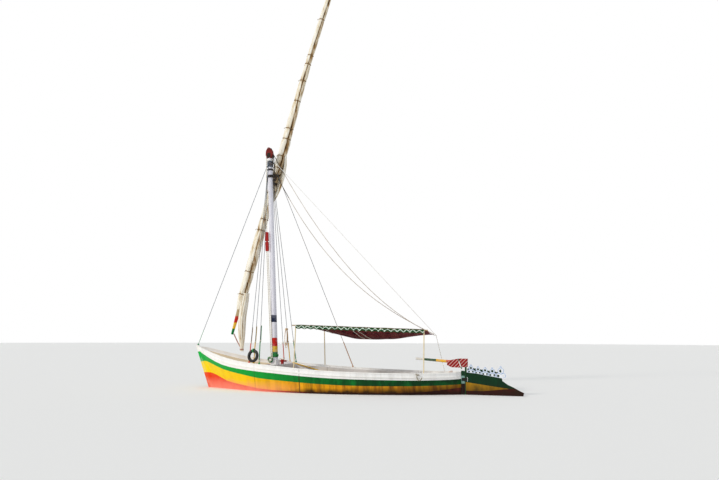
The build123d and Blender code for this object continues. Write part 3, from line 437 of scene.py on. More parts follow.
@dataclass(frozen=True)
class SailCanvas(Finish):
    """Unbleached cotton sailcloth, woven, sewn in panels and furled wet and dry for years.

    To the eye it is cream, matt and soft and greyed along its edges, with long stains; it is darker
    tan to brown in its folds and on its aft side, and there the darkening is painted shade.
    The thread is 1.5 mm apart, too fine to show, so the weave is drawn 14 mm apart.
    """

    pale: str = "fdf8ea"
    tan_stain_and_shade: str = "a9824f"

    def paint(self, tree: bpy.types.NodeTree, shader: bpy.types.Node) -> None:
        """Folds and the aft side take painted shade, tan to dark brown, from the mesh's own values for each
        point, and long stains cross them.
        """
        place = add_node(tree, "TexCoord").outputs["Object"]
        crease_shade = add_node(tree, "Attribute", {"attribute_name": "crease_shade"}).outputs["Fac"]
        run = add_node(tree, "Mapping", {"Scale": (9.0, 9.0, 2.2)}, {"Vector": place})
        stain = add_node(tree, "TexNoise", {"Scale": 1.0, "Detail": 6.0, "Roughness": 0.62},
                         {"Vector": run.outputs[0]})
        # Painted shade from the mesh, added to the real stains, sets how dark the cloth is.
        depth = add_node(tree, "Math", {"operation": "MULTIPLY_ADD", 1: 0.55},
                         {0: crease_shade, 2: stain.outputs["Fac"]})
        tone = add_node(tree, "ValToRGB", {"stops": (
            (0.50, self.pale), (0.68, "e9dcc0"), (0.84, self.tan_stain_and_shade), (1.0, "45331f"))}, {0: depth.outputs[0]})
        tree.links.new(tone.outputs[0], shader.inputs["Base Color"])
        shader.inputs["Roughness"].default_value = 0.9
        shader.inputs["Specular IOR Level"].default_value = 0.1
        shader.inputs["Sheen Weight"].default_value = 0.1
        shader.inputs["Sheen Roughness"].default_value = 0.5
        warp = add_node(tree, "TexWave", {"wave_type": "BANDS", "bands_direction": "X", "Scale": 22.0,
                                          "Distortion": 0.6}, {"Vector": place})
        weft = add_node(tree, "TexWave", {"wave_type": "BANDS", "bands_direction": "Z", "Scale": 22.0,
                                          "Distortion": 0.6}, {"Vector": place})
        weave = add_node(tree, "Math", {"operation": "MULTIPLY"},
                         {0: warp.outputs["Fac"], 1: weft.outputs["Fac"]})
        bump = add_node(tree, "Bump", {"Strength": 0.25, "Distance": 0.002}, {"Height": weave.outputs[0]})
        slub = add_node(tree, "Bump", {"Strength": 0.5, "Distance": 0.012},
                        {"Height": stain.outputs["Fac"], "Normal": bump.outputs[0]})
        tree.links.new(slub.outputs[0], shader.inputs["Normal"])


@dataclass(frozen=True)
class PrintedCotton(Finish):
    """Printed tent cotton with a traditional star-and-ring repeat, sun-faded.

    To the eye it is deep maroon, soft and matt, with a pale all-over pattern and dusty
    patches. The repeat is 360 mm.
    """

    ground: str = "5c0e20"
    figure: str = "8f4a42"
    accent: str = "26090f"
    repeat_mm: float = 360.0

    def paint(self, tree: bpy.types.NodeTree, shader: bpy.types.Node) -> None:
        """Rings and eight-pointed stars in a square repeat, laid out on the cloth's own UV."""
        cloth = add_node(tree, "UVMap").outputs[0]
        scaled = add_node(tree, "VectorMath", {"operation": "SCALE", "Scale": per_metre(self.repeat_mm)},
                          {0: cloth})
        cell = add_node(tree, "VectorMath", {"operation": "FRACTION"}, {0: scaled.outputs[0]})
        centred = add_node(tree, "VectorMath", {"operation": "SUBTRACT", 1: (0.5, 0.5, 0.0)},
                           {0: cell.outputs[0]})
        split = add_node(tree, "SeparateXYZ", links={0: centred.outputs[0]})
        reach = add_node(tree, "VectorMath", {"operation": "LENGTH"}, {0: centred.outputs[0]})
        turn = add_node(tree, "Math", {"operation": "ARCTAN2"},
                        {0: split.outputs["Y"], 1: split.outputs["X"]})
        eight = add_node(tree, "Math", {"operation": "MULTIPLY", 1: 8.0}, {0: turn.outputs[0]})
        petal = add_node(tree, "Math", {"operation": "COSINE"}, {0: eight.outputs[0]})
        shape = add_node(tree, "Math", {"operation": "MULTIPLY_ADD", 1: 0.045},
                         {0: petal.outputs[0], 2: reach.outputs["Value"]})
        pattern = add_node(tree, "ValToRGB", {"constant": True, "stops": (
            (0.0, self.figure), (0.07, self.accent), (0.13, self.figure), (0.20, self.ground),
            (0.29, self.figure), (0.325, self.accent), (0.36, self.ground), (0.47, self.figure),
            (0.50, self.ground), (0.60, self.accent))}, {0: shape.outputs[0]})
        place = add_node(tree, "TexCoord").outputs["Object"]
        dust = add_node(tree, "TexNoise", {"Scale": per_metre(450), "Detail": 6.0}, {"Vector": place})
        fade = add_node(tree, "ValToRGB", {"stops": ((0.40, 0.0), (0.75, 0.45))}, {0: dust.outputs["Fac"]})
        colour = laid_over(tree, fade.outputs[0], pattern.outputs[0], "703a30")
        tree.links.new(colour, shader.inputs["Base Color"])
        shader.inputs["Roughness"].default_value = 0.88
        shader.inputs["Specular IOR Level"].default_value = 0.06
        shader.inputs["Sheen Weight"].default_value = 0.05
        fine = add_node(tree, "TexNoise", {"Scale": per_metre(12), "Detail": 2.0}, {"Vector": place})
        bump = add_node(tree, "Bump", {"Strength": 0.3, "Distance": 0.003}, {"Height": fine.outputs["Fac"]})
        tree.links.new(bump.outputs[0], shader.inputs["Normal"])


@dataclass(frozen=True)
class ValanceCotton(Finish):
    """Green cotton cut as a row of points 200 mm wide, with a white tape sewn on in a zigzag."""

    point_mm: float = 200.0

    def paint(self, tree: bpy.types.NodeTree, shader: bpy.types.Node) -> None:
        """The tape follows the points, from the strip's UV: along it and from 0 to 1 down it."""
        cloth = add_node(tree, "UVMap").outputs[0]
        split = add_node(tree, "SeparateXYZ", links={0: cloth})
        saw = nearest_line(tree, split.outputs["X"], self.point_mm)
        edge = add_node(tree, "Math", {"operation": "MULTIPLY_ADD", 1: 1.1, 2: 0.10}, {0: saw})
        drawn = add_node(tree, "TexNoise", {"Scale": per_metre(240), "Detail": 2.0}, {"Vector": cloth})
        edge = add_node(tree, "Math", {"operation": "MULTIPLY_ADD", 1: 0.7},
                        {0: drawn.outputs["Fac"], 2: edge.outputs[0]})
        edge = add_node(tree, "Math", {"operation": "SUBTRACT", 1: 0.28}, {0: edge.outputs[0]})
        off = add_node(tree, "Math", {"operation": "SUBTRACT"}, {0: split.outputs["Y"], 1: edge.outputs[0]})
        gap = add_node(tree, "Math", {"operation": "ABSOLUTE"}, {0: off.outputs[0]})
        white = add_node(tree, "Math", {"operation": "LESS_THAN", 1: 0.13}, {0: gap.outputs[0]})
        colour = add_node(tree, "MixRGB", {"Color1": linear("084722"), "Color2": linear("dcebdd")},
                          {"Fac": white.outputs[0]})
        place = add_node(tree, "TexCoord").outputs["Object"]
        dust = add_node(tree, "TexNoise", {"Scale": per_metre(90), "Detail": 5.0}, {"Vector": place})
        mask = add_node(tree, "ValToRGB", {"stops": ((0.45, 0.0), (0.8, 0.5))}, {0: dust.outputs["Fac"]})
        soiled = laid_over(tree, mask.outputs[0], colour.outputs[0], "7d6f5a")
        tree.links.new(soiled, shader.inputs["Base Color"])
        shader.inputs["Roughness"].default_value = 0.9
        shader.inputs["Specular IOR Level"].default_value = 0.1


@dataclass(frozen=True)
class LaidRope(Finish):
    """Three-strand rope, laid from fibre, furred and dusty.

    To the eye it is matt with slanting strands; the darker grooves between them are painted shade.
    """

    colour: str = "d9cdb2"
    # Colour of the grooves between strands: painted shade.
    groove: str = "7b6848"
    lay_mm: float = 60.0

    def paint(self, tree: bpy.types.NodeTree, shader: bpy.types.Node) -> None:
        """Strands slant across the rope once in each lay length."""
        place = add_node(tree, "TexCoord").outputs["Object"]
        strand = laid_strands(tree, place, self.lay_mm)
        fuzz = add_node(tree, "TexNoise", {"Scale": per_metre(25), "Detail": 6.0}, {"Vector": place})
        both = add_node(tree, "Math", {"operation": "MULTIPLY_ADD", 1: 0.5},
                        {0: fuzz.outputs["Fac"], 2: strand})
        # The grooves between strands take painted shade.
        tone = add_node(tree, "ValToRGB", {"stops": ((0.22, self.groove), (0.5, self.colour))},
                        {0: both.outputs[0]})
        tree.links.new(tone.outputs[0], shader.inputs["Base Color"])
        shader.inputs["Roughness"].default_value = 0.92
        bump = add_node(tree, "Bump", {"Strength": 0.8, "Distance": 0.004}, {"Height": strand})
        tree.links.new(bump.outputs[0], shader.inputs["Normal"])


@dataclass(frozen=True)
class GalvanisedWire(Finish):
    """Hot-dipped steel wire rope and iron straps, dulled and rusting in patches.

    To the eye it is a dark blue-grey metal with a low sheen and brown flecks.
    """

    colour: str = "4b5661"
    rust: str = "6e4a2c"
    lay_mm: float = 45.0
    metal: float = 0.75

    def paint(self, tree: bpy.types.NodeTree, shader: bpy.types.Node) -> None:
        """Wires slant round the rope, and rust comes in patches 120 mm across."""
        place = add_node(tree, "TexCoord").outputs["Object"]
        patch = add_node(tree, "TexNoise", {"Scale": per_metre(120), "Detail": 7.0, "Roughness": 0.7},
                         {"Vector": place})
        mask = add_node(tree, "ValToRGB", {"stops": ((0.5, 0.0), (0.68, 0.85))}, {0: patch.outputs["Fac"]})
        colour = add_node(tree, "MixRGB", {"Color1": linear(self.colour), "Color2": linear(self.rust)},
                          {"Fac": mask.outputs[0]})
        tree.links.new(colour.outputs[0], shader.inputs["Base Color"])
        metal = add_node(tree, "MapRange", {3: self.metal, 4: 0.1}, {0: mask.outputs[0]})
        tree.links.new(metal.outputs[0], shader.inputs["Metallic"])
        rough = add_node(tree, "MapRange", {3: 0.42, 4: 0.85}, {0: patch.outputs["Fac"]})
        tree.links.new(rough.outputs[0], shader.inputs["Roughness"])
        strand = laid_strands(tree, place, self.lay_mm)
        bump = add_node(tree, "Bump", {"Strength": 0.5, "Distance": 0.0015}, {"Height": strand})
        tree.links.new(bump.outputs[0], shader.inputs["Normal"])


@dataclass(frozen=True)
class TyreRubber(Finish):
    """Vulcanised, moulded tyre rubber, perished by sun and rubbed by quays.

    To the eye it is near black, matt, with pale scuffs and a grey bloom of dust.
    """

    def paint(self, tree: bpy.types.NodeTree, shader: bpy.types.Node) -> None:
        """Scuffs and dusty patches 55 mm across."""
        place = add_node(tree, "TexCoord").outputs["Object"]
        scuff = add_node(tree, "TexNoise", {"Scale": per_metre(55), "Detail": 8.0, "Roughness": 0.7},
                         {"Vector": place})
        tone = add_node(tree, "ValToRGB", {"stops": ((0.35, "17181a"), (0.62, "34332f"), (0.8, "a39c8c"))},
                        {0: scuff.outputs["Fac"]})
        tree.links.new(tone.outputs[0], shader.inputs["Base Color"])
        shader.inputs["Roughness"].default_value = 0.82
        bump = add_node(tree, "Bump", {"Strength": 0.4, "Distance": 0.002}, {"Height": scuff.outputs["Fac"]})
        tree.links.new(bump.outputs[0], shader.inputs["Normal"])


@dataclass(frozen=True)
class PaleFloor(Finish):
    """Plain pale studio floor, matt."""

    colour: str = "f6f6f4"

    def paint(self, tree: bpy.types.NodeTree, shader: bpy.types.Node) -> None:
        """One even colour that takes the object's shadow."""
        shader.inputs["Base Color"].default_value = linear(self.colour)
        shader.inputs["Roughness"].default_value = 0.9
        shader.inputs["Specular IOR Level"].default_value = 0.1


# ---- The boat's own finishes

HULL_WHITE = BoatEnamel("white_gloss_enamel_on_plate", "fdfcfa", "eaeaec", 0.34,
                        Wear(drips=0.2, grime=0.7, seams=0.3), stain="a39a8c")
# Painted shade: the green bands run darker towards the stern, where the side turns away from the light.
HULL_GREEN = BoatEnamel(
    "green_gloss_enamel_on_plate", "0cb043", "0b9a3c", 0.34, Wear(drips=0.5, grime=0.2, seams=0.9),
    Bands(Way.AFT.value, -4.8, 4.8, (
        (-4.8, "06b23e"), (-1.6, "059c34"), (0.2, "046a24"), (2.0, "04451a"), (4.8, "043214")), 0.3, False),
    stain="04200c")
# Painted shade: the yellow bands run darker and browner towards the stern, where the side turns away from the
# light.
HULL_YELLOW = BoatEnamel(
    "yellow_gloss_enamel_on_plate", "fcd810", "f5bd0c", 0.36,
    Wear(drips=0.85, grime=0.2, seams=0.9, waterline=0.95),
    Bands(Way.AFT.value, -4.8, 4.8, (
        (-4.8, "ffe606"), (-2.6, "fed004"), (-0.6, "f4aa06"), (1.6, "df9510"), (3.4, "c48413"),
        (4.8, "99670f")), 0.3, False),
    stain="6a3608")
# Painted shade: the red bands run darker towards the stern, where the side turns away from the light.
HULL_RED = BoatEnamel(
    "red_antifouling_enamel_on_plate", "ee4c1c", "e8603e", 0.45,
    Wear(drips=0.6, grime=0.3, seams=0.8, waterline=0.95),
    Bands(Way.AFT.value, -4.8, 4.8, (
        (-4.8, "f2440e"), (-2.2, "e63e20"), (-0.4, "cc3018"), (0.6, "861f0c"), (2.4, "4f140a"),
        (4.8, "3c0f08")), 0.3, False),
    stain="28100a")
RUB_WHITE = BoatEnamel("white_enamel_on_rubbing_rail", "fdfcf8", "ecebe6", 0.32, Wear(0.12, 0.25))
# Painted shadow: aft of X = -2.02 the foredeck turns lavender grey, for the shadow of the mast and the furled
# sail.
DECK_BEIGE_AND_SHADOW = BoatEnamel(
    "matt_deck_paint_with_painted_shadow", "e2cca8", "c9b89c", 0.7, Wear(0.0, 0.5),
    Bands(Way.AFT.value, -4.8, 0.0, ((-4.8, "e6d0ac"), (-2.02, "a29bb4")), 0.06), plank_mm=140.0)
DECK_WHITE = BoatEnamel("white_deck_paint_on_wood", "f6f4ee", "dcd8ce", 0.5, Wear(0.0, 0.4), plank_mm=115.0)
# Painted shade: the bulkheads take the lavender grey of the shade inside the hull, not a paint colour of their
# own.
INNER_SHADE_GREY = BoatEnamel("lavender_grey_painted_shade_inside_hull", "a59ba6", "8b8290", 0.65, Wear(0.3, 0.5))
# Painted shade: the mast's white and its chalked mottle are tinted blue-grey for the shade on its far side.
MAST_PAINT = BoatEnamel(
    "blue_grey_shaded_white_enamel_on_mast_with_bands", "ecebf3", "d6d6e4", 0.4, Wear(0.1, 0.2),
    Bands(Way.UP.value, 0.5, 8.6, (
        (0.5, "ecebf3"), (1.05, "0a7434"), (1.25, "f3c416"), (1.42, "cf2418"), (1.71, "ecebf3"),
        (2.25, "18223e"), (2.52, "ecebf3"))))
POST_WHITE = BoatEnamel("old_white_enamel_on_bollards", "f1e4dc", "dfc9ba", 0.45, Wear(0.2, 0.5))
GEAR_RED = BoatEnamel("dark_red_enamel_on_gear", "a51f1c", "7c1a18", 0.42, Wear(0.2, 0.4))
HEAD_RED = BoatEnamel("tarred_red_enamel_on_masthead", "7a1815", "3a1410", 0.5, Wear(0.5, 0.8))
STAY_GREEN = BoatEnamel(
    "green_paint_on_foot_of_wire", "12904a", "4b5661", 0.5, Wear(0.0, 0.2),
    Bands(Way.UP.value, 0.0, 9.0, ((0.0, "12904a"), (1.98, "46515c"))))
ROD_RED = BoatEnamel("orange_red_enamel_on_rods", "dd4a1e", "b43c1a", 0.4, Wear(0.1, 0.3))
ROD_YELLOW = BoatEnamel("yellow_enamel_on_rods", "f0bd1c", "d0a020", 0.4, Wear(0.1, 0.3))
ROD_GREEN = BoatEnamel("green_enamel_on_rods", "0f8a44", "0f6a38", 0.4, Wear(0.1, 0.3))
POLE_PAINT = BoatEnamel("cream_enamel_on_poles", "ead9b0", "cdb98a", 0.45, Wear(0.2, 0.4))
TILLER_PAINT = BoatEnamel(
    "banded_enamel_on_tiller", "0b7a38", "d8d2c4", 0.42, Wear(0.0, 0.3),
    Bands(Way.AFT.value, 3.2, 4.8, (
        (3.2, "f3efe4"), (3.53, "064a26"), (3.92, "f2b412"), (4.25, "e0480e"))))
STRIPED_RED = BoatEnamel(
    "dark_red_enamel_with_white_lines", "8c1518", "7a1c1c", 0.42, Wear(0.0, 0.4),
    Bands((0.707, 0.0, -0.707), 2.20, 2.92, tuple(
        stop for n in range(9) for stop in ((2.20 + 0.08 * n, "94090f"), (2.262 + 0.08 * n, "e3bdb4"))),
        0.004))
RUDDER_PAINT = RudderEnamel(
    "banded_enamel_on_rudder", "043018", "07401f", 0.4, Wear(0.35, 0.35, 0.0, 0.8), stain="120c06")
CREST_PAINT = BoatEnamel("white_enamel_on_scrolls", "f1f5fa", "cfdcec", 0.42, Wear(0.0, 0.3))
SCROLL_BLUE = BoatEnamel("pale_blue_enamel_on_scrolls", "9db8dc", "7f9cc4", 0.42, Wear(0.0, 0.3))
BACK_GREEN = BoatEnamel("dark_green_enamel_behind_scrolls", "052c14", "0a3d1d", 0.42, Wear(0.0, 0.3))
STOCK_PAINT = BoatEnamel("green_enamel_on_stock", "07401d", "0b5428", 0.42, Wear(0.2, 0.3))
POST_PAINT = BoatEnamel(
    "banded_enamel_on_sternpost", "0e3d22", "2c5a42", 0.45, Wear(0.3, 0.5),
    Bands(Way.UP.value, -0.6, 1.0, ((-0.6, "24100b"), (0.34, "93b8ae"), (0.57, "0e3d22")), 0.03),
    stain="1a120c")
TARRED = BoatEnamel("tarred_paint_on_iron", "20241f", "3b2d20", 0.6, Wear(0.0, 0.4))
YARD_PAINT = BoatEnamel(
    "peeled_pole_with_painted_heel", "b7a17c", "cbb994", 0.6, Wear(0.0, 0.5),
    Bands(Way.UP.value, 1.7, 2.7, (
        (1.7, "0c7a3a"), (2.05, "f0bd1c"), (2.27, "c0281c"), (2.50, "b7a17c"))))
OAR_PAINT = BoatEnamel(
    "banded_enamel_on_oar", "e8b82a", "d9a93a", 0.45, Wear(0.0, 0.4),
    Bands(Way.AFT.value, -2.0, 0.4, ((-2.0, "f4f1e8"), (-1.44, "f6c41e"))))
STEM_PAINT = BoatEnamel(
    "banded_enamel_on_stem", "f4f0e8", "ded8cc", 0.36, Wear(0.3, 0.35, 0, 0.3),
    Bands((-0.18, 0.0, 1.0), -1.0, 2.6, (
        (-1.0, "f0522a"), (1.306, "fedd10"), (1.713, "10b648"), (2.072, "fbfaf6"))),
    stain="6a4418")
RUNNER_VARNISH = BoatEnamel(
    "varnish_on_runner_rod", "c79d7c", "d8b696", 0.5, Wear(0.0, 0.2),
    Bands(Way.UP.value, 0.0, 9.0, ((0.0, "d3a684"), (1.66, "46515c"))))
BARE_BATTEN = BoatEnamel("bare_batten_on_shroud", "cfa262", "b98c4e", 0.6, Wear(0.0, 0.3))
BATTEN_PAINT = BoatEnamel(
    "banded_enamel_on_batten", "f2f0ea", "d8d4c8", 0.45, Wear(0.0, 0.3),
    Bands(Way.UP.value, 0.7, 1.2, ((0.7, "0c5a30"), (0.86, "f4f4ee"), (1.03, "0c5a30"))))
BENCH_WOOD = OiledWood("sawn_pine_on_benches", plank_mm=120.0)
SOLE_WOOD = OiledWood("sawn_pine_on_sole", "97744e", "4c351f", plank_mm=150.0)
FRAME_WOOD = OiledWood("sawn_acacia_frames", "8f6d46", "473018", Way.UP)
BAMBOO = OiledWood("bamboo_on_awning_bars", "c9a76a", "7d5d30", Way.AFT)
CANVAS = SailCanvas("cotton_sailcloth_with_painted_shade")
AWNING_PRINT = PrintedCotton("printed_tent_cotton")
VALANCE_PRINT = ValanceCotton("sewn_valance_cotton")
PALE_ROPE = LaidRope("laid_cotton_rope", "efe9da", "9c8d70")
GREEN_ROPE = LaidRope("laid_green_polypropylene_rope", "2f9a4c", "0c4a20", 45.0)
DARK_ROPE = LaidRope("laid_tarred_rope", "3d342b", "120e0a", 60.0)
SLACK_ROPE = LaidRope("laid_sun_bleached_rope", "d8cdbd", "857763", 60.0)
WORN_ROPE = LaidRope("laid_weathered_rope", "a89e8a", "40382c", 50.0)
TIE_ROPE = LaidRope("laid_jute_ties", "a07c4a", "4c351c", 30.0)
NYLON_ROPE = LaidRope("laid_white_nylon_rope", "f8f6f1", "dcd8cf", 60.0)
TAN_ROPE = LaidRope("laid_tan_cotton_rope", "e7c9a0", "8c5f38", 50.0)
PINK_STRAP = LaidRope("laid_pink_cotton_strap", "cfa093", "7a5045", 40.0)
WIRE = GalvanisedWire("galvanised_wire_rope")
IRON = GalvanisedWire("painted_black_iron", "1d1c1b", "4a2c1a", 90.0, 0.5)
RUBBER = TyreRubber("perished_tyre_rubber")
FLOOR = PaleFloor("pale_studio_floor")


# ---- Mesh making


class Shape:
    """Mesh under construction, with UVs in metres and a value of painted shade for each point, higher in folds.
    """

    def __init__(self) -> None:
        """Start empty."""
        self.points: list[tuple[float, float, float]] = []
        self.faces: list[tuple[int, ...]] = []
        self.corners: list[tuple[tuple[float, float], ...]] = []
        self.crease_shade: list[float] = []

    def grid(self, rows: Sequence[Sequence[Vector]], wrap: bool = False,
             size: tuple[float, float] = (1.0, 1.0), crease_shade: Sequence[Sequence[float]] | None = None) -> None:
        """Add a grid of quads.

        Args:
            rows: Rows of points, all of one length.
            wrap: Whether each row closes on itself.
            size: UV size of one row step and one column step.
            crease_shade: Painted shade for each point, higher in folds.
        """
        first = len(self.points)
        wide = len(rows[0])
        for number, row in enumerate(rows):
            self.points += [tuple(p) for p in row]
            self.crease_shade += list(crease_shade[number]) if crease_shade else [0.0] * wide
        across = wide if wrap else wide - 1
        for r in range(len(rows) - 1):
            for c in range(across):
                d = (c + 1) % wide
                a, b = first + r * wide, first + (r + 1) * wide
                self.faces.append((a + c, a + d, b + d, b + c))
                u0, u1, v0, v1 = r * size[0], (r + 1) * size[0], c * size[1], (c + 1) * size[1]
                self.corners.append(((u0, v0), (u0, v1), (u1, v1), (u1, v0)))

    def cap(self, ring: Sequence[int], turned: bool = False) -> None:
        """Close a ring of points by one face."""
        order = tuple(reversed(ring)) if turned else tuple(ring)
        self.faces.append(order)
        self.corners.append(tuple((0.0, 0.0) for _ in order))

    def pipe(self, rows: Sequence[Sequence[Vector]], size: tuple[float, float] = (1.0, 1.0),
             crease_shade: Sequence[Sequence[float]] | None = None, downward: bool = False) -> None:
        """Add a grid that closes on itself, with a face over each end.

        Args:
            rows: Rings of points, all of one length.
            size: UV size of one row step and one column step.
            crease_shade: Painted shade for each point, higher in folds.
            downward: Whether the rings run the other way, so that the end faces turn over.
        """
        first, ring = len(self.points), len(rows[0])
        self.grid(rows, wrap=True, size=size, crease_shade=crease_shade)
        self.cap(range(first, first + ring), turned=downward)
        last = len(self.points) - ring
        self.cap(range(last, last + ring), turned=not downward)

    def tube(self, path: Sequence[Point], radius: float | Sequence[float], sides: int = 8,
             strands: int = 0, lay: float = 0.06) -> None:
        """Add a closed tube along a path.

        Args:
            path: Points of the centreline.
            radius: One radius, or one for each point.
            sides: Points round the tube.
            strands: Number of laid strands that groove it, or 0 for a plain tube.
            lay: Length in which a strand goes once round.
        """
        line = [Vector(p) for p in path]
        radii = [radius] * len(line) if isinstance(radius, (int, float)) else list(radius)
        side = None
        gone = 0.0
        rows = []
        for number, here in enumerate(line):
            before, after = line[max(number - 1, 0)], line[min(number + 1, len(line) - 1)]
            way = (after - before).normalized()
            if number:
                gone += (here - before).length
            if side is None:
                side = way.orthogonal().normalized()
            side = (side - way * side.dot(way)).normalized()
            other = way.cross(side)
            row = []
            for k in range(sides):
                turn = math.tau * k / sides
                reach = radii[number]
                if strands:
                    reach *= 0.80 + 0.20 * abs(math.cos(strands / 2 * (turn - math.tau * gone / lay)))
                row.append(here + side * (reach * math.cos(turn)) + other * (reach * math.sin(turn)))
            rows.append(row)
        self.pipe(rows)

    def hoop(self, centre: Point, axis: Point, reach: float, radius: float, sides: int = 8,
             steps: int = 24) -> None:
        """Add a closed ring of round bar or rope about an axis."""
        up = Vector(axis).normalized()
        side = up.orthogonal().normalized()
        other = up.cross(side)
        rows = []
        for n in range(steps + 1):
            turn = math.tau * n / steps
            out = side * math.cos(turn) + other * math.sin(turn)
            rows.append([Vector(centre) + out * (reach + radius * math.cos(math.tau * k / sides))
                         + up * (radius * math.sin(math.tau * k / sides)) for k in range(sides)])
        self.grid(rows, wrap=True)

    def box(self, centre: Point, size: Point, turn: Matrix | None = None) -> None:
        """Add a closed box."""
        first = len(self.points)
        for z in (-1, 1):
            for y in (-1, 1):
                for x in (-1, 1):
                    corner = Vector((x * size[0] / 2, y * size[1] / 2, z * size[2] / 2))
                    if turn is not None:
                        corner = turn @ corner
                    self.points.append(tuple(Vector(centre) + corner))
                    self.crease_shade.append(0.0)
        for face in ((0, 2, 3, 1), (4, 5, 7, 6), (0, 1, 5, 4), (2, 6, 7, 3), (0, 4, 6, 2), (1, 3, 7, 5)):
            self.cap([first + k for k in face])

    def finish(self, name: str, body: str, finish: Finish, smooth: bool = True) -> bpy.types.Object:
        """Make the object, dress it and let it ride on a body.

        Args:
            name: Name of the piece.
            body: Body that it moves with.
            finish: Its finish.
            smooth: Whether its faces are shaded smooth.

        Returns:
            The new object.
        """
        mesh = bpy.data.meshes.new(name)
        mesh.from_pydata(self.points, [], self.faces)
        layer = mesh.uv_layers.new(name="UVMap")
        flat = [value for face in self.corners for corner in face for value in corner]
        layer.data.foreach_set("uv", flat)
        # Painted shade for each point, read by the sailcloth's material.
        painted_shade_values = mesh.attributes.new("crease_shade", "FLOAT", "POINT")
        painted_shade_values.data.foreach_set("value", self.crease_shade)
        mesh.validate()
        if smooth:
            mesh.shade_smooth()
        piece = bpy.data.objects.new(name, mesh)
        bpy.context.scene.collection.objects.link(piece)
        finish.dress(piece)
        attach(piece, body)
        LOG.info("%s: %d faces on %s", name, len(mesh.polygons), body)
        return piece


def between(table: Table, at: float) -> float:
    """Value at a place, in line between a table's rows."""
    for (low, first), (high, last) in zip(table, table[1:]):
        if at <= high:
            return first + (last - first) * max(0.0, at - low) / (high - low)
    return table[-1][1]


def sagging(start: Point, end: Point, sag: float, count: int = 12) -> list[Vector]:
    """Points of a line that hangs between two points."""
    first, last = Vector(start), Vector(end)
    return [first.lerp(last, n / count) - Vector((0, 0, 4 * sag * (n / count) * (1 - n / count)))
            for n in range(count + 1)]


def dress_nodes(nodes: Mapping[str, bpy.types.Object], finishes: Mapping[str, Finish]) -> None:
    """Give CAD nodes their finishes."""
    for node, finish in finishes.items():
        finish.dress(nodes[node])
        LOG.info("%s dressed", node)


# ---- Sub-assemblies


@dataclass
class Hull:
    """Plated hull with its rails, decks and what lies on them."""

    frames: tuple[tuple[float, float, float, float], ...] = (
        (-1.20, 1.225, 1.250, 0.66), (-0.75, 1.290, 1.312, 0.63), (-0.30, 1.340, 1.360, 0.60),
        (0.15, 1.364, 1.382, 0.57), (0.60, 1.369, 1.388, 0.55), (1.05, 1.344, 1.364, 0.54),
        (1.50, 1.298, 1.320, 0.53), (1.95, 1.227, 1.252, 0.52), (2.40, 1.133, 1.160, 0.51))
    bench_top: float = 0.398

    def dress(self, nodes: Mapping[str, bpy.types.Object]) -> None:
        """Give each plate, rail and deck its finish."""
        dress_nodes(nodes, {
            "bottom_red": HULL_RED, "strake_yellow": HULL_YELLOW, "strake_green": HULL_GREEN,
            "strake_white": HULL_WHITE, "gunwale": RUB_WHITE, "rub_rail": RUB_WHITE, "keel": HULL_RED,
            "stem": STEM_PAINT, "sternpost": POST_PAINT, "foredeck": DECK_BEIGE_AND_SHADOW, "stern_deck": DECK_WHITE,
            "side_decks": RUB_WHITE, "coaming": HULL_WHITE, "bulkhead_fore": INNER_SHADE_GREY,
            "bulkhead_aft": INNER_SHADE_GREY, "cockpit_sole": SOLE_WOOD, "benches": BENCH_WOOD,
            "bitts": GEAR_RED, "oar": OAR_PAINT, "bollards": POST_WHITE, "gudgeons": TARRED,
            "mast_step": RUB_WHITE,
        })

    def make_frames(self) -> None:
        """Short frame timbers between the benches and the side decks."""
        shape = Shape()
        for x, low_y, high_y, top in self.frames:
            for side in (-1, 1):
                low, high = Vector((x, side * low_y, self.bench_top)), Vector((x, side * high_y, top))
                middle, lean = (low + high) / 2, math.atan2(side * (high_y - low_y), top - self.bench_top)
                shape.box(middle - Vector((0, side * 0.026, 0)), (0.050, 0.040, (high - low).length),
                          Matrix.Rotation(-lean, 3, "X"))
        shape.finish("hull_frames", "hull", FRAME_WOOD, False)

    def make_post_facing(self) -> None:
        """Wearing strip on the sternpost's after side, in lengths between the gudgeons."""
        shape = Shape()
        for low, high in ((-0.50, -0.38), (-0.28, 0.42), (0.52, 0.725)):
            shape.box((4.8145, 0.0, (low + high) / 2), (0.027, 0.056, high - low))
        shape.finish("sternpost_facing", "hull", POST_PAINT, False)

    def make_rope_curl(self) -> None:
        """Loose loop of rope that hangs over the rubbing rail near the stern."""
        shape = Shape()
        centre = Vector((3.535, -0.918, 0.545))
        line = [centre + Vector((0.062 * math.cos(t) + 0.01 * t, 0.0, 0.085 * math.sin(t)))
                for t in (math.tau * n / 20 for n in range(3, 21))]
        line = [Vector((3.47, -0.895, 0.668)), Vector((3.475, -0.912, 0.640))] + line
        shape.tube(line, 0.015, 8, 3, 0.06)
        shape.finish("rail_rope_curl", "hull", WORN_ROPE)


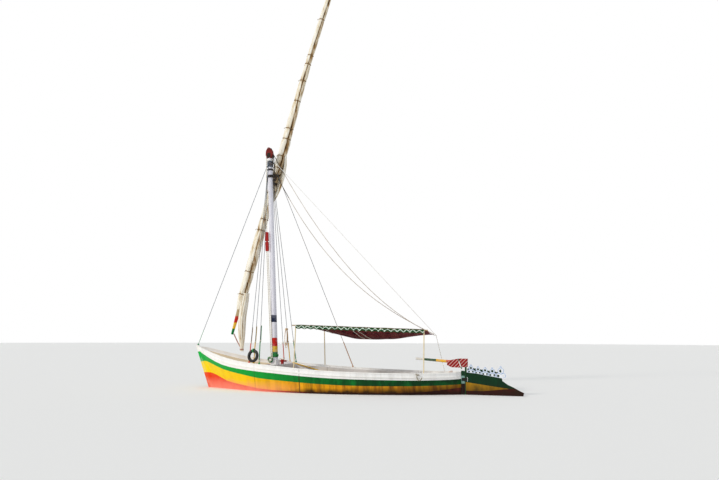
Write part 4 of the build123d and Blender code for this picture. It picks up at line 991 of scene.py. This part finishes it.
@dataclass
class Rigging:
    """Mast, its standing wires and the ropes made fast to them."""

    foot: tuple[float, float] = (-1.702, 0.9)
    rake: float = 0.0515
    step_height: float = 0.7
    step_radius: float = 0.102
    taper: float = 0.020
    tapered_length: float = 7.43
    # Height of the band that holds each side's shrouds, and for each rod, fore to aft, its foot's
    # place, distance off the centreline and height, and its length.
    port: Rods = (7.886, ((-2.120, 1.126, 0.952, 0.64), (-1.925, 1.174, 0.935, 0.69),
                          (-1.705, 1.224, 0.917, 0.74)))
    starboard: Rods = (7.942, ((-1.900, 1.180, 0.933, 0.64), (-1.690, 1.227, 0.916, 0.69),
                               (-1.470, 1.268, 0.901, 0.74)))

    def centre(self, height: float) -> Vector:
        """Point on the mast's centreline."""
        return Vector((self.foot[0] - self.rake * (height - self.foot[1]), 0.0, height))

    def radius(self, height: float) -> float:
        """Radius of the mast."""
        return self.step_radius - self.taper * (height - self.step_height) / self.tapered_length

    def rods(self, side: int) -> list[tuple[Vector, Vector, float]]:
        """Foot, direction and length of the shroud rods to port (-1) or to starboard (1), fore to aft."""
        band, feet = self.port if side < 0 else self.starboard
        head = self.centre(band) + Vector((0, side * (self.radius(band) + 0.04), 0))
        rods = []
        for x, y, z, length in feet:
            foot = Vector((x, side * y, z))
            rods.append((foot, (head - foot).normalized(), length))
        return rods

    def dress(self, nodes: Mapping[str, bpy.types.Object]) -> None:
        """Give the mast, wires and rods their finishes."""
        dress_nodes(nodes, {
            "mast": MAST_PAINT, "mast_head": HEAD_RED, "forestay": STAY_GREEN, "shrouds_port": WIRE,
            "shrouds_starboard": WIRE, "runner": RUNNER_VARNISH, "backstays": NYLON_ROPE,
            "shroud_rods_red": ROD_RED, "shroud_rods_yellow": ROD_YELLOW, "shroud_rods_green": ROD_GREEN,
            "fall_block": GEAR_RED, "halyard_fall": PALE_ROPE,
        })

    def masthead_ropes(self) -> None:
        """Tarred rope turns round the head, and dark halyard parts down the mast's after side."""
        turns = Shape()
        for height in (8.16, 8.195, 8.23, 8.265, 8.44, 8.475):
            turns.hoop(self.centre(height), (-self.rake, 0, 1), 0.108 if height < 8.3 else 0.078, 0.014, 6, 20)
        turns.finish("masthead_rope_turns", "hull", DARK_ROPE)
        parts, top, steps = Shape(), 8.27, 24
        for aside, low, radius in ((-0.046, 7.02, 0.012), (0.046, 6.88, 0.011), (0.074, 7.20, 0.012)):
            line = []
            for n in range(steps + 1):
                height = top + (low - top) * n / steps
                bow = 0.014 * math.sin(math.pi * n / steps)
                line.append(self.centre(height) + Vector((self.radius(height) + 0.043 + bow, aside, 0)))
            parts.tube(line, radius, 8, 3, 0.06)
            parts.hoop(line[-1], (0, 0, 1), 0.010, 0.011, 6, 12)
        parts.finish("masthead_halyard_parts", "hull", DARK_ROPE)

    def seizings(self) -> None:
        """Rope seizings where the painted rods meet the wires, and at the rods' feet."""
        turns = Shape()
        for foot, way, length in self.rods(-1) + self.rods(1):
            for n in range(5):
                turns.hoop(foot + way * (length - 0.03 + 0.013 * n), way, 0.019 if n < 3 else 0.013,
                           0.0065, 6, 12)
            for n in range(3):
                turns.hoop(foot + way * (0.055 + 0.013 * n), way, 0.021, 0.0065, 6, 14)
        turns.finish("rod_seizings", "hull", PALE_ROPE)

    def foot_coil(self) -> None:
        """Green and white halyard tail, coiled and hung on the port side of the mast's foot."""
        coil, tail = Shape(), Shape()
        chance = random.Random(11)
        for n in range(10):
            centre = Vector((-1.800 + chance.uniform(-0.018, 0.018), -0.138 - 0.009 * n,
                             1.000 + chance.uniform(-0.02, 0.02)))
            axis = (chance.uniform(-0.35, 0.15), -1.0, chance.uniform(-0.2, 0.2))
            shape = coil if n % 3 else tail
            shape.hoop(centre, axis, 0.068 + chance.uniform(-0.016, 0.018), 0.010, 6, 26)
        for n in range(5):
            middle = self.centre(1.10 + 0.021 * n)
            coil.hoop(middle, (0.06 * (n - 2), 0.05, 1.0), self.radius(1.1) + 0.013, 0.011, 6, 32)
        coil.finish("mast_foot_coil", "hull", GREEN_ROPE)
        tail.finish("mast_foot_coil_white", "hull", PALE_ROPE)

    def shroud_battens(self) -> None:
        """Thin painted battens seized to the port shrouds above their rods."""
        battens = (("fore", 0.014, BARE_BATTEN), ("middle", 0.017, ROD_YELLOW), ("aft", 0.022, ROD_GREEN))
        for (name, radius, finish), (foot, way, length) in zip(battens, self.rods(-1)):
            shape = Shape()
            aside = way.cross(Vector((1, 0, 0))).normalized() * (radius + 0.009)
            top = length + 0.50
            shape.tube([foot + aside + way * (length - 0.05 + (top - length + 0.05) * n / 6)
                        for n in range(7)], radius, 8)
            shape.finish(f"shroud_batten_{name}", "hull", finish)

    def slack_lines(self) -> None:
        """Two slack lines from the masthead to the awning's far corner, tarred for their first part.

        The upper one leaves the head itself, and the lower one leaves the mast beside the parrel's
        height, and sags more in its upper half.
        """
        tarred, pale, steps = Shape(), Shape(), 40
        corner = Vector((3.672, 0.882, 1.876))
        for head, aside, sag, skew, dark in ((8.30, 0.060, 1.00, 0.0, 3), (7.72, 0.080, 1.05, 0.5, 4)):
            start = self.centre(head) + Vector((self.radius(head) + 0.03, aside, 0))
            line = []
            for n in range(steps + 1):
                share = n / steps
                drop = 4 * sag * share * (1 - share) * (1 + skew * (0.5 - share))
                line.append(start.lerp(corner, share) - Vector((0, 0, drop)))
            tarred.tube(line[:dark + 1], 0.013, 8, 3, 0.06)
            tarred.hoop(self.centre(head), (-self.rake, 0, 1), self.radius(head) + 0.018, 0.013, 6, 24)
            pale.tube(line[dark:], 0.011, 8, 3, 0.06)
            pale.hoop(line[dark], line[dark + 1] - line[dark], 0.012, 0.009, 6, 12)
            pale.hoop(corner, line[-1] - line[-2], 0.016, 0.010, 6, 14)
        tarred.finish("slack_line_heads", "hull", DARK_ROPE)
        pale.finish("slack_lines", "hull", SLACK_ROPE)

    def shroud_coil(self) -> None:
        """Spare line, coiled in long loops on a starboard shroud."""
        shape = Shape()
        chance = random.Random(23)
        foot, way, _ = self.rods(1)[1]
        top = foot + way * ((2.08 - foot.z) / way.z)
        for n in range(5):
            wide, deep = 0.050 + chance.uniform(-0.012, 0.025), 0.62 + chance.uniform(-0.08, 0.10)
            out = -0.024 - 0.012 * n
            line = []
            for k in range(29):
                turn = math.tau * k / 28
                line.append(top + Vector((wide * math.sin(turn) * (0.55 + 0.45 * math.sin(turn / 2)), out,
                                          -deep * (1 - math.cos(turn)) / 2)))
            shape.tube(line, 0.009, 6, 3, 0.05)
        for n in range(4):
            shape.hoop(top + way * (0.012 * n - 0.06) + Vector((0, -0.035, 0)), way, 0.048, 0.008, 6, 18)
        shape.finish("shroud_line_coil", "hull", TAN_ROPE)


@dataclass
class YardAndSail:
    """The long yard with the sail furled round it, its ties and its hanging foot."""

    side: float = 0.440
    heel: tuple[float, float] = (-3.630, 1.850)
    lean: float = 0.2835
    straight: float = 8.9
    length: float = 15.6
    bend: float = math.radians(5.5)
    # How strongly painted shade darkens the slit and the aft side, for the lower and the upper bundle.
    shades: tuple[float, float] = (0.36, 0.60)
    lower: Table = ((0.93, 0.105), (1.4, 0.164), (2.2, 0.182), (3.2, 0.182), (4.2, 0.167), (5.0, 0.155),
                    (5.57, 0.126))
    upper: Table = ((6.04, 0.130), (6.5, 0.169), (7.2, 0.177), (8.0, 0.156), (8.9, 0.136), (10.5, 0.122),
                    (12.2, 0.110), (13.8, 0.089), (15.3, 0.057))
    loose: Table = ((4.95, 0.134), (5.15, 0.158), (5.45, 0.146), (5.80, 0.128), (6.04, 0.144),
                    (6.45, 0.176), (6.75, 0.158))
    tail: tuple[tuple[float, float, float], ...] = (
        (-3.105, 3.32, 0.112), (-3.170, 2.95, 0.136), (-3.235, 2.45, 0.137), (-3.245, 1.90, 0.131),
        (-3.225, 1.50, 0.080), (-3.217, 1.33, 0.056), (-3.215, 1.255, 0.058))
    ties: tuple[float, ...] = (
        1.49, 2.34, 3.90, 4.31, 6.26, 6.71, 7.36, 7.76, 8.82, 9.60, 10.24, 10.58, 11.98, 13.1, 14.2)

    def point(self, along: float) -> Vector:
        """Point on the yard's centreline, by distance from the heel."""
        lean = math.atan(self.lean)
        reach = min(along, self.straight)
        x = self.heel[0] + reach * math.sin(lean)
        z = self.heel[1] + reach * math.cos(lean)
        if along > self.straight:
            over = along - self.straight
            turn = self.bend * over / (self.length - self.straight)
            x += over * math.sin(lean + turn / 2)
            z += over * math.cos(lean + turn / 2)
        return Vector((x, self.side, z))

    def way(self, along: float) -> Vector:
        """Direction of the yard at a distance from the heel."""
        lean = math.atan(self.lean)
        if along > self.straight:
            lean += self.bend * (along - self.straight) / (self.length - self.straight)
        return Vector((math.sin(lean), 0.0, math.cos(lean)))

    def dress(self, nodes: Mapping[str, bpy.types.Object]) -> None:
        """Give the spar and its iron their finishes."""
        dress_nodes(nodes, {"yard": YARD_PAINT, "parrel": IRON, "halyard": DARK_ROPE})

    def _reach(self, table: Table, along: float, turn: float) -> tuple[float, float]:
        """Radius of the furled cloth and its painted shade.

        Args:
            table: Distance and outer radius.
            along: Distance from the heel.
            turn: Angle round the yard.

        Returns:
            The radius and a painted-shade value from 0, proud and lit, to 1, dark in a deep fold, in the slit
            or on the shaded aft side.
        """
        outer = between(table, along)
        wander = noise.noise(Vector((along * 0.7, 3.1, 0.0))) * 1.6
        deep = 0.0
        for count, twist, share in ((2, 0.55, 0.10), (3, -0.8, 0.085), (5, 1.3, 0.05), (9, -2.2, 0.03)):
            wave = abs(math.sin(0.5 * count * turn + twist * along + wander * count * 0.4))
            deep += share * (1.0 - wave) ** 2.2
        grain = noise.noise(Vector((math.cos(turn) * 2.2, math.sin(turn) * 2.2, along * 2.4)))
        deep += 0.05 * (0.5 - grain)
        pinch = 0.0
        for tie in self.ties:
            off = abs(along - tie)
            if off < 0.7:
                pinch += 0.11 * math.exp(-(off / 0.05) ** 2) + 0.035 * math.exp(-off / 0.16)
                deep += 0.07 * math.exp(-off / 0.11) * abs(math.sin(8.5 * turn + 2.0 * tie))
        # Painted shade: the slit where the cloth's edge tucks under, and the aft side past it, are darkened.
        slit = 5.30 + 0.16 * math.sin(1.1 * along) + 0.30 * noise.noise(Vector((along * 0.8, 9.0, 2.0)))
        past = math.fmod(turn - slit + 2 * math.tau, math.tau)
        near = min(past, math.tau - past)
        open_edge = math.exp(-(near / 0.13) ** 2)
        shade = 0.68 * math.exp(-past / 0.9) if past < 3.0 else 0.0
        ends = min(along - table[0][0], table[-1][0] - along)
        pinch += 0.10 * math.exp(-max(ends, 0.0) / 0.05)
        reach = outer * (1.03 - deep - pinch - 0.13 * open_edge)
        # Deep folds darken, and the slit and the aft side take painted shade.
        dark = self.shades[0] if table is self.lower else self.shades[1]
        return reach, min(1.0, 2.0 * deep + dark * (open_edge + shade))

    def wrap(self, table: Table) -> Shape:
        """Cloth wrapped round one length of the yard.

        Args:
            table: Distance and outer radius.

        Returns:
            The shape, closed at both ends on the spar.
        """
        shape = Shape()
        start, end = table[0][0], table[-1][0]
        step, sides = 0.028, 56
        count = int((end - start) / step)
        rows, crease_shades = [], []
        for n in range(count + 1):
            along = start + (end - start) * n / count
            centre, way = self.point(along), self.way(along)
            aft = STARBOARD.cross(way).normalized()
            row, crease_shade = [], []
            for k in range(sides):
                turn = math.tau * k / sides
                reach, deep = self._reach(table, along, turn)
                row.append(centre + aft * (reach * math.cos(turn)) + STARBOARD * (reach * math.sin(turn)))
                crease_shade.append(deep)
            rows.append(row)
            crease_shades.append(crease_shade)
        shape.pipe(rows, (step, 0.016), crease_shades)
        return shape

    def foot(self, shape: Shape) -> None:
        """Add the gathered foot that hangs from the lower end of the sail."""
        path = [Vector((x, self.side, z)) for x, z, _ in self.tail]
        radii = [radius for _, _, radius in self.tail]
        steps, sides = 60, 44
        rows, crease_shades = [], []
        for n in range(steps + 1):
            share = n / steps * (len(path) - 1)
            low = min(int(share), len(path) - 2)
            part = share - low
            centre = path[low].lerp(path[low + 1], part)
            base = radii[low] + (radii[low + 1] - radii[low]) * part
            row, crease_shade = [], []
            for k in range(sides):
                turn = math.tau * k / sides
                pleat = abs(math.sin(4.5 * turn + 0.03 * n + noise.noise(Vector((n * 0.05, 0, 7))) * 2))
                deep = 0.20 * (1 - pleat) ** 1.6
                reach = base * (1.04 - deep)
                row.append(centre + Vector((reach * math.cos(turn), reach * math.sin(turn), 0)))
                # Painted shade in the pleats, darker the deeper they are.
                crease_shade.append(min(1.0, deep * 3.0))
            rows.append(row)
            crease_shades.append(crease_shade)
        shape.pipe(rows, (0.03, 0.016), crease_shades, downward=True)

    def make(self) -> None:
        """Make the cloth, its ties and knots, the lashing on the bare spar and the loose fold at the parrel."""
        low = self.wrap(self.lower)
        self.foot(low)
        below = low.finish("furled_sail_below", "yard", CANVAS)
        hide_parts("furled_sail_lower")
        above = self.wrap(self.upper).finish("furled_sail_above", "yard", CANVAS)
        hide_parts("furled_sail_upper")
        self._ties()
        self._neck()
        self._belly()

    def _ties(self) -> None:
        """Rope ties round the bundle, with their knots and loose ends on the forward side."""
        ties, ends = Shape(), Shape()
        chance = random.Random(7)
        for along in self.ties:
            table = self.lower if along < 5.8 else self.upper
            centre, way = self.point(along), self.way(along)
            reach = between(table, along) * 0.885
            for shift in (-0.007, 0.007):
                ties.hoop(centre + way * shift, way, reach, 0.007, 6, 28)
            aft = STARBOARD.cross(way).normalized()
            turn = chance.uniform(2.6, 4.4)
            out = aft * math.cos(turn) + STARBOARD * math.sin(turn)
            knot = centre + out * (reach + 0.012)
            for spread in (-1, 1):
                tip = knot + out * 0.05 - Vector((0, 0, 0.05)) + way.cross(out) * 0.035 * spread
                ends.tube([knot, knot.lerp(tip, 0.5) + out * 0.015, tip], [0.009, 0.010, 0.012], 6)
            ends.hoop(knot, way, 0.012, 0.009, 6, 12)
        ties.finish("sail_ties", "yard", TIE_ROPE)
        ends.finish("sail_tie_ends", "yard", PALE_ROPE)

    def _neck(self) -> None:
        """Lashing turns on the bare spar each side of the parrel."""
        turns = Shape()
        for along in [5.62 + 0.022 * n for n in range(4)] + [5.93 + 0.022 * n for n in range(4)]:
            turns.hoop(self.point(along), self.way(along), 0.099, 0.010, 6, 28)
        turns.finish("parrel_lashing", "yard", DARK_ROPE)

    def _belly(self) -> None:
        """Loose fold of cloth that hangs aft past the parrel, from one bundle to the next."""
        shape = Shape()
        steps, around, thick = 64, 40, 0.008
        start, end = self.loose[0][0], self.loose[-1][0]
        rows, crease_shades = [], []
        for n in range(steps + 1):
            share = n / steps
            along = start + (end - start) * share
            centre, way = self.point(along), self.way(along)
            aft = STARBOARD.cross(way).normalized()
            swell = math.sin(math.pi * share)
            open_by = math.radians(26 - 8 * swell)
            outer, inner, crease_shade = [], [], []
            for k in range(around + 1):
                turn = -open_by + (math.pi + 2 * open_by) * k / around
                fold = abs(math.sin(3.5 * turn + 2.2 * share + noise.noise(Vector((along, 0.0, 4.0)))))
                reach = between(self.loose, along) + 0.014 * fold
                reach += 0.165 * swell ** 1.2 * max(0.0, math.cos(turn - 0.15)) ** 1.4
                out = aft * math.cos(turn) + STARBOARD * math.sin(turn)
                outer.append(centre + out * reach)
                inner.append(centre + out * (reach - thick))
                # Painted shade in the folds, and slightly darker all over where the cloth swells out furthest.
                crease_shade.append(0.60 * (1.0 - fold) ** 1.5 + 0.10 * swell)
            rows.append(outer + inner[::-1])
            crease_shades.append(crease_shade + crease_shade[::-1])
        shape.pipe(rows, (0.028, 0.014), crease_shades)
        belly = shape.finish("sail_cloth_at_parrel", "yard", CANVAS)

    def heel_strap(self) -> None:
        """Webbing strap from the yard's heel to the foot of the sail."""
        strap = Shape()
        heel = Vector((-3.56, self.side, 1.875))
        tack = Vector((-3.225, self.side, 1.33))
        for spread in (-0.018, 0.018):
            line = [p + Vector((0, spread, 0)) for p in sagging(heel, tack, 0.035, 10)]
            strap.tube(line, 0.014, 8, 3, 0.07)
        strap.hoop(tack, (0, 0, 1), 0.062, 0.013, 6, 20)
        strap.hoop(tack - Vector((0, 0, 0.024)), (0, 0, 1), 0.060, 0.013, 6, 20)
        strap.finish("sail_foot_strap", "yard", PINK_STRAP)


@dataclass
class Awning:
    """Printed cotton sheet that sags between its bars, with a pointed valance."""

    fore_near: tuple[float, float, float] = (-0.40, -1.287, 2.167)
    aft_near: tuple[float, float, float] = (3.69, -0.679, 2.022)
    fore_far: tuple[float, float, float] = (-0.40, 1.287, 2.167)
    aft_far: tuple[float, float, float] = (3.69, 0.900, 1.850)
    hollow: float = 0.190
    sag: float = 0.330
    valance_drop: float = 0.125
    near_length: float = 4.14
    point_width: float = 0.20

    def at(self, along: float, across: float) -> Vector:
        """Point of the cloth, by shares from fore to aft and from near to far."""
        near = Vector(self.fore_near).lerp(Vector(self.aft_near), along)
        bow = 4 * along * (1 - along)
        far = Vector(self.fore_far).lerp(Vector(self.aft_far), along) - Vector((0, self.hollow * bow, 0))
        point = near.lerp(far, across)
        belly = 4 * across * (1 - across)
        point.z -= self.sag * bow * belly
        ripple = 0.014 * math.sin(along * 38 + 3 * across) * (1 - across) ** 2 * bow
        fold = noise.noise(Vector((along * 5, across * 3, 1.7))) * 0.04 * belly
        ridge = 0.024 * abs(math.sin(9 * math.atan2(across + 0.02, along + 0.02))) * bow
        point.z += (ripple + fold - ridge) * (1.0 if across > 0.02 else 0.2)
        return point

    def make(self, nodes: Mapping[str, bpy.types.Object]) -> None:
        """Make the sheet, the valance and the lashings."""
        dress_nodes(nodes, {"awning_poles": POLE_PAINT, "awning_rails": BAMBOO, "awning_guy": PALE_ROPE})
        shape = Shape()
        long, wide = 120, 60
        rows = [[self.at(a / long, c / wide) for c in range(wide + 1)] for a in range(long + 1)]
        shape.grid(rows, size=(4.1 / long, 2.1 / wide))
        cloth = shape.finish("awning_sheet", "hull", AWNING_PRINT)
        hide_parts("awning_cloth")
        self._valance()
        self._lashings()

    def _valance(self) -> None:
        """Strip of sewn points that hangs from the near edge."""
        shape = Shape()
        steps = 164
        rows = []
        for n in range(steps + 1):
            along = n / steps
            top = Vector(self.fore_near).lerp(Vector(self.aft_near), along) + Vector((0, -0.021, -0.018))
            saw = abs(((along * self.near_length / self.point_width) % 1.0) - 0.5) * 2
            drop = self.valance_drop * (0.72 + 0.28 * (1 - saw))
            wave = 0.012 * math.sin(along * 60) + 0.01 * noise.noise(Vector((along * 20, 0, 0)))
            rows.append([top + Vector((0, wave * d - 0.004, -drop * d)) for d in (0, 0.33, 0.66, 1.0)])
        shape.grid(rows, size=(self.near_length / steps, 1 / 3))
        strip = shape.finish("awning_valance", "hull", VALANCE_PRINT)

    def _lashings(self) -> None:
        """Cotton ties that bind the sheet's edges to the bars."""
        ties = Shape()
        near, aft = Vector(self.fore_near), Vector(self.aft_near)
        for n in range(10):
            centre = near.lerp(aft, n / 9) - Vector((0, 0, 0.029))
            ties.hoop(centre, aft - near, 0.026, 0.005, 6, 16)
            ties.hoop(centre + Vector((0.012, 0, 0)), aft - near, 0.026, 0.005, 6, 16)
        for n in range(7):
            centre = near.lerp(Vector(self.fore_far), (n + 0.5) / 7) - Vector((0, 0, 0.029))
            ties.hoop(centre, (0, 1, 0), 0.026, 0.005, 6, 16)
        for first, last in ((0.44, 0.49), (0.475, 0.545), (0.20, 0.225)):
            path = []
            for n in range(13):
                point = self.at(first + (last - first) * n / 12, 0.02 + 0.36 * n / 12)
                path.append(point - Vector((0, 0.004, 0.016)))
            ties.tube(path, 0.009, 6)
        ties.finish("awning_ties", "hull", PALE_ROPE)


@dataclass
class Fender:
    """Three-wheeler's tyre, lashed outside the shroud rods."""

    radius: float = 0.215

    def make(self, nodes: Mapping[str, bpy.types.Object]) -> None:
        """Make the open carcass with its tread, in the place of the plain ring."""
        low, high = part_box("tyre_fender")
        centre = (Vector(low) + Vector(high)) / 2
        ring = nodes["tyre_fender"].data.vertices
        spread = [Vector(v.co) - centre for v in ring]
        axis = self._normal(spread)
        up = (Vector((0, 0, 1)) - axis * axis.z).normalized()
        side = axis.cross(up)
        profile = self._profile()
        steps = 96
        shape = Shape()
        rows = []
        for n in range(steps + 1):
            turn = math.tau * n / steps
            out = up * math.cos(turn) + side * math.sin(turn)
            row = []
            for reach, across, tread in profile:
                groove = 0.004 if tread and n % 4 < 2 else 0.0
                row.append(centre + out * (reach - groove) + axis * across)
            rows.append(row)
        shape.grid(rows, wrap=True)
        tyre = shape.finish("tyre", "hull", RUBBER)
        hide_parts("tyre_fender")
        lashing = Shape()
        top = centre + up * (self.radius - 0.045)
        for n in range(3):
            lashing.hoop(top + side * (0.016 * n - 0.02), side, 0.062, 0.008, 6, 20)
        lashing.finish("tyre_lashing", "hull", GREEN_ROPE)

    @staticmethod
    def _normal(spread: Sequence[Vector]) -> Vector:
        """Axis of a ring of points about its middle: the way in which they spread least."""
        best = Vector((0, -1, 0))
        least = 1e9
        for tilt in range(-12, 13):
            for swing in range(-16, 17):
                way = Vector((math.radians(2 * swing), -1.0, math.radians(2 * tilt))).normalized()
                reach = max(abs(p.dot(way)) for p in spread[::23])
                if reach < least:
                    least, best = reach, way
        return best

    def _profile(self) -> list[tuple[float, float, bool]]:
        """Closed section of the carcass: distance from the axle, distance across, and tread or not."""
        r = self.radius
        outer = [(r - 0.086, -0.030), (r - 0.080, -0.040), (r - 0.055, -0.0455), (r - 0.028, -0.044),
                 (r - 0.010, -0.034)]
        tread = [(r - 0.004, -0.024), (r, -0.012), (r, 0.0), (r, 0.012), (r - 0.004, 0.024)]
        back = [(r - 0.010, 0.034), (r - 0.028, 0.044), (r - 0.055, 0.0455), (r - 0.080, 0.040),
                (r - 0.086, 0.030)]
        inner = [(r - 0.076, 0.030), (r - 0.055, 0.037), (r - 0.028, 0.034), (r - 0.014, 0.014),
                 (r - 0.012, -0.014), (r - 0.028, -0.034), (r - 0.055, -0.037), (r - 0.076, -0.030)]
        section = [(a, b, False) for a, b in outer] + [(a, b, True) for a, b in tread]
        section += [(a, b, False) for a, b in back + inner]
        return section


@dataclass
class Rudder:
    """Hung rudder with its scroll crest, stock and banded tiller."""

    stock_x: float = 4.862
    motifs: tuple[tuple[float, float, float], ...] = (
        (0.165, 0.660, 1.0), (0.385, 0.632, 0.93), (0.605, 0.595, 1.0), (0.825, 0.560, 1.08),
        (1.085, 0.520, 1.4))

    def dress(self, nodes: Mapping[str, bpy.types.Object]) -> None:
        """Give the rudder's pieces their finishes."""
        dress_nodes(nodes, {
            "rudder_blade": RUDDER_PAINT, "rudder_crest": CREST_PAINT, "rudder_stock": STOCK_PAINT,
            "tiller": TILLER_PAINT, "tiller_head": STRIPED_RED,
        })

    def make_crest(self) -> None:
        """Painted scrolls in relief on both faces of the crest, and the dark board inside it."""
        scrolls, face, steps = Shape(), 0.0185, 25
        radii = [0.0045 + 0.0025 * math.sin(math.pi * n / steps) for n in range(steps + 1)]
        for aft, foot, size in self.motifs:
            x = self.stock_x + aft
            for y in (-face, face):
                for hand in (-1, 1):
                    line = []
                    for n in range(steps + 1):
                        turn = 0.6 + 1.45 * math.pi * n / steps
                        reach = size * (0.060 - 0.022 * n / steps)
                        aside = hand * (size * 0.058 - reach * math.cos(turn) * 0.9)
                        line.append(Vector((x + aside, y, foot + size * 0.055 + reach * math.sin(turn))))
                    scrolls.tube(line, radii, 6)
                scrolls.hoop((x, y, foot + size * 0.165), STARBOARD, size * 0.062, 0.0055, 6, 28)
                scrolls.hoop((x, y, foot + size * 0.250), STARBOARD, size * 0.018, 0.0045, 6, 14)
        scrolls.finish("crest_scrolls", "rudder", SCROLL_BLUE)
        board = Shape()
        outline = [(4.912, 0.690), (4.912, 0.80)]
        for (aft, foot, size), (after, next_foot, _) in zip(self.motifs, self.motifs[1:]):
            outline.append((self.stock_x + aft, foot + 0.20 * size))
            outline.append((self.stock_x + (aft + after) / 2, (foot + next_foot) / 2 + 0.165))
        aft, foot, size = self.motifs[-1]
        outline += [(self.stock_x + aft, foot + 0.20 * size), (5.985, 0.62), (5.965, 0.54)]
        low = len(outline)
        for y in (-0.006, 0.006):
            board.points += [(x, y, z) for x, z in outline]
            board.crease_shade += [0.0] * low
        board.cap(range(low))
        board.cap(range(low, 2 * low), turned=True)
        for n in range(low):
            m = (n + 1) % low
            board.cap((n, n + low, m + low, m))
        board.finish("crest_board", "rudder", BACK_GREEN, False)

    def make_batten(self) -> None:
        """Green and white batten that leans on the port side of the tiller's head."""
        batten = Shape()
        batten.tube([(4.640, -0.090, 1.108), (4.675, -0.090, 1.0), (4.752, -0.090, 0.790)], 0.014, 10)
        batten.finish("tiller_head_batten", "rudder", BATTEN_PAINT)


@dataclass
class Studio:
    """Camera at the photograph's place, soft lamps and the pale floor at the waterline."""

    position: tuple[float, float, float] = (8.460, -21.802, 1.80)
    azimuth: float = math.radians(18.096)
    pitch: float = math.radians(8.005)
    roll: float = math.radians(0.192)
    lens_px: float = 683.8
    width_px: float = 719.0

    def camera(self) -> None:
        """Make the camera: 36 mm wide sensor, no shift, no depth of field."""
        data = bpy.data.cameras.new("camera")
        data.sensor_width = 36.0
        data.lens = 36.0 * self.lens_px / self.width_px
        data.clip_end = 500.0
        a, p = self.azimuth, self.pitch
        ahead = Vector((-math.sin(a) * math.cos(p), math.cos(a) * math.cos(p), math.sin(p)))
        right = Vector((math.cos(a), math.sin(a), 0.0))
        up = right.cross(ahead).normalized()
        tilted = right * math.cos(self.roll) + up * math.sin(self.roll)
        above = tilted.cross(ahead).normalized()
        frame = Matrix((tilted, above, -ahead)).transposed().to_4x4()
        frame.translation = Vector(self.position)
        camera = bpy.data.objects.new("camera", data)
        camera.matrix_world = frame
        bpy.context.scene.collection.objects.link(camera)
        bpy.context.scene.camera = camera

    def lamp(self, name: str, way: Point, strength: float, softness: float, colour: str) -> None:
        """Add a broad distant lamp.

        Args:
            name: Name of the lamp.
            way: Direction in which its light travels.
            strength: Light on a square surface, in watts per square metre.
            softness: Width of the source, in degrees.
            colour: sRGB hex colour.
        """
        data = bpy.data.lights.new(name, "SUN")
        data.energy = strength
        data.angle = math.radians(softness)
        data.color = linear(colour)[:3]
        lamp = bpy.data.objects.new(name, data)
        lamp.rotation_mode = "QUATERNION"
        lamp.rotation_quaternion = Vector(way).to_track_quat("-Z", "Y")
        bpy.context.scene.collection.objects.link(lamp)

    def floor(self) -> None:
        """Make the round floor at the waterline."""
        count, reach = 96, 160.0
        points = [(reach * math.cos(math.tau * n / count), reach * math.sin(math.tau * n / count), 0.0)
                  for n in range(count)]
        mesh = bpy.data.meshes.new("studio_floor")
        mesh.from_pydata(points, [], [tuple(range(count))])
        floor = bpy.data.objects.new("studio_floor", mesh)
        bpy.context.scene.collection.objects.link(floor)
        FLOOR.dress(floor)

    def world(self) -> None:
        """White to the camera and in reflections, and a soft even light on the object."""
        world = bpy.data.worlds.new("studio")
        world.use_nodes = True
        tree = world.node_tree
        tree.nodes.clear()
        path = add_node(tree, "LightPath")
        seen = add_node(tree, "Math", {"operation": "MAXIMUM"},
                        {0: path.outputs["Is Camera Ray"], 1: path.outputs["Is Glossy Ray"]})
        seen = add_node(tree, "Math", {"operation": "MAXIMUM"},
                        {0: seen.outputs[0], 1: path.outputs["Is Transmission Ray"]})
        soft = add_node(tree, "Background", {"Color": linear("edf1f6"), "Strength": 0.53})
        white = add_node(tree, "Background", {"Color": linear("ffffff"), "Strength": 1.0})
        mixed = add_node(tree, "MixShader", None, {0: seen.outputs[0], 1: soft.outputs[0], 2: white.outputs[0]})
        add_node(tree, "OutputWorld", links={"Surface": mixed.outputs[0]})
        bpy.context.scene.world = world

    def make(self) -> None:
        """Set the stage."""
        self.camera()
        self.lamp("key_lamp", (0.60, 0.66, -0.45), 1.40, 8.0, "fff9f0")
        self.lamp("fill_lamp", (-0.35, 0.80, -0.45), 0.20, 50.0, "eaf0ff")
        self.lamp("top_lamp", (0.10, 0.12, -1.0), 0.50, 60.0, "ffffff")
        self.floor()
        self.world()
        bpy.context.scene.view_settings.view_transform = "Standard"


def main() -> None:
    """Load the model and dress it."""
    logging.basicConfig(level=logging.INFO, format="%(name)s: %(message)s")
    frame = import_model()
    nodes = frame["nodes"]
    Studio().make()
    hull = Hull()
    hull.dress(nodes)
    hull.make_frames()
    hull.make_post_facing()
    hull.make_rope_curl()
    rigging = Rigging()
    rigging.dress(nodes)
    rigging.masthead_ropes()
    rigging.seizings()
    rigging.foot_coil()
    rigging.shroud_battens()
    rigging.shroud_coil()
    rigging.slack_lines()
    yard = YardAndSail()
    yard.dress(nodes)
    yard.make()
    yard.heel_strap()
    Awning().make(nodes)
    Fender().make(nodes)
    rudder = Rudder()
    rudder.dress(nodes)
    rudder.make_crest()
    rudder.make_batten()


if __name__ == "__main__":
    main()
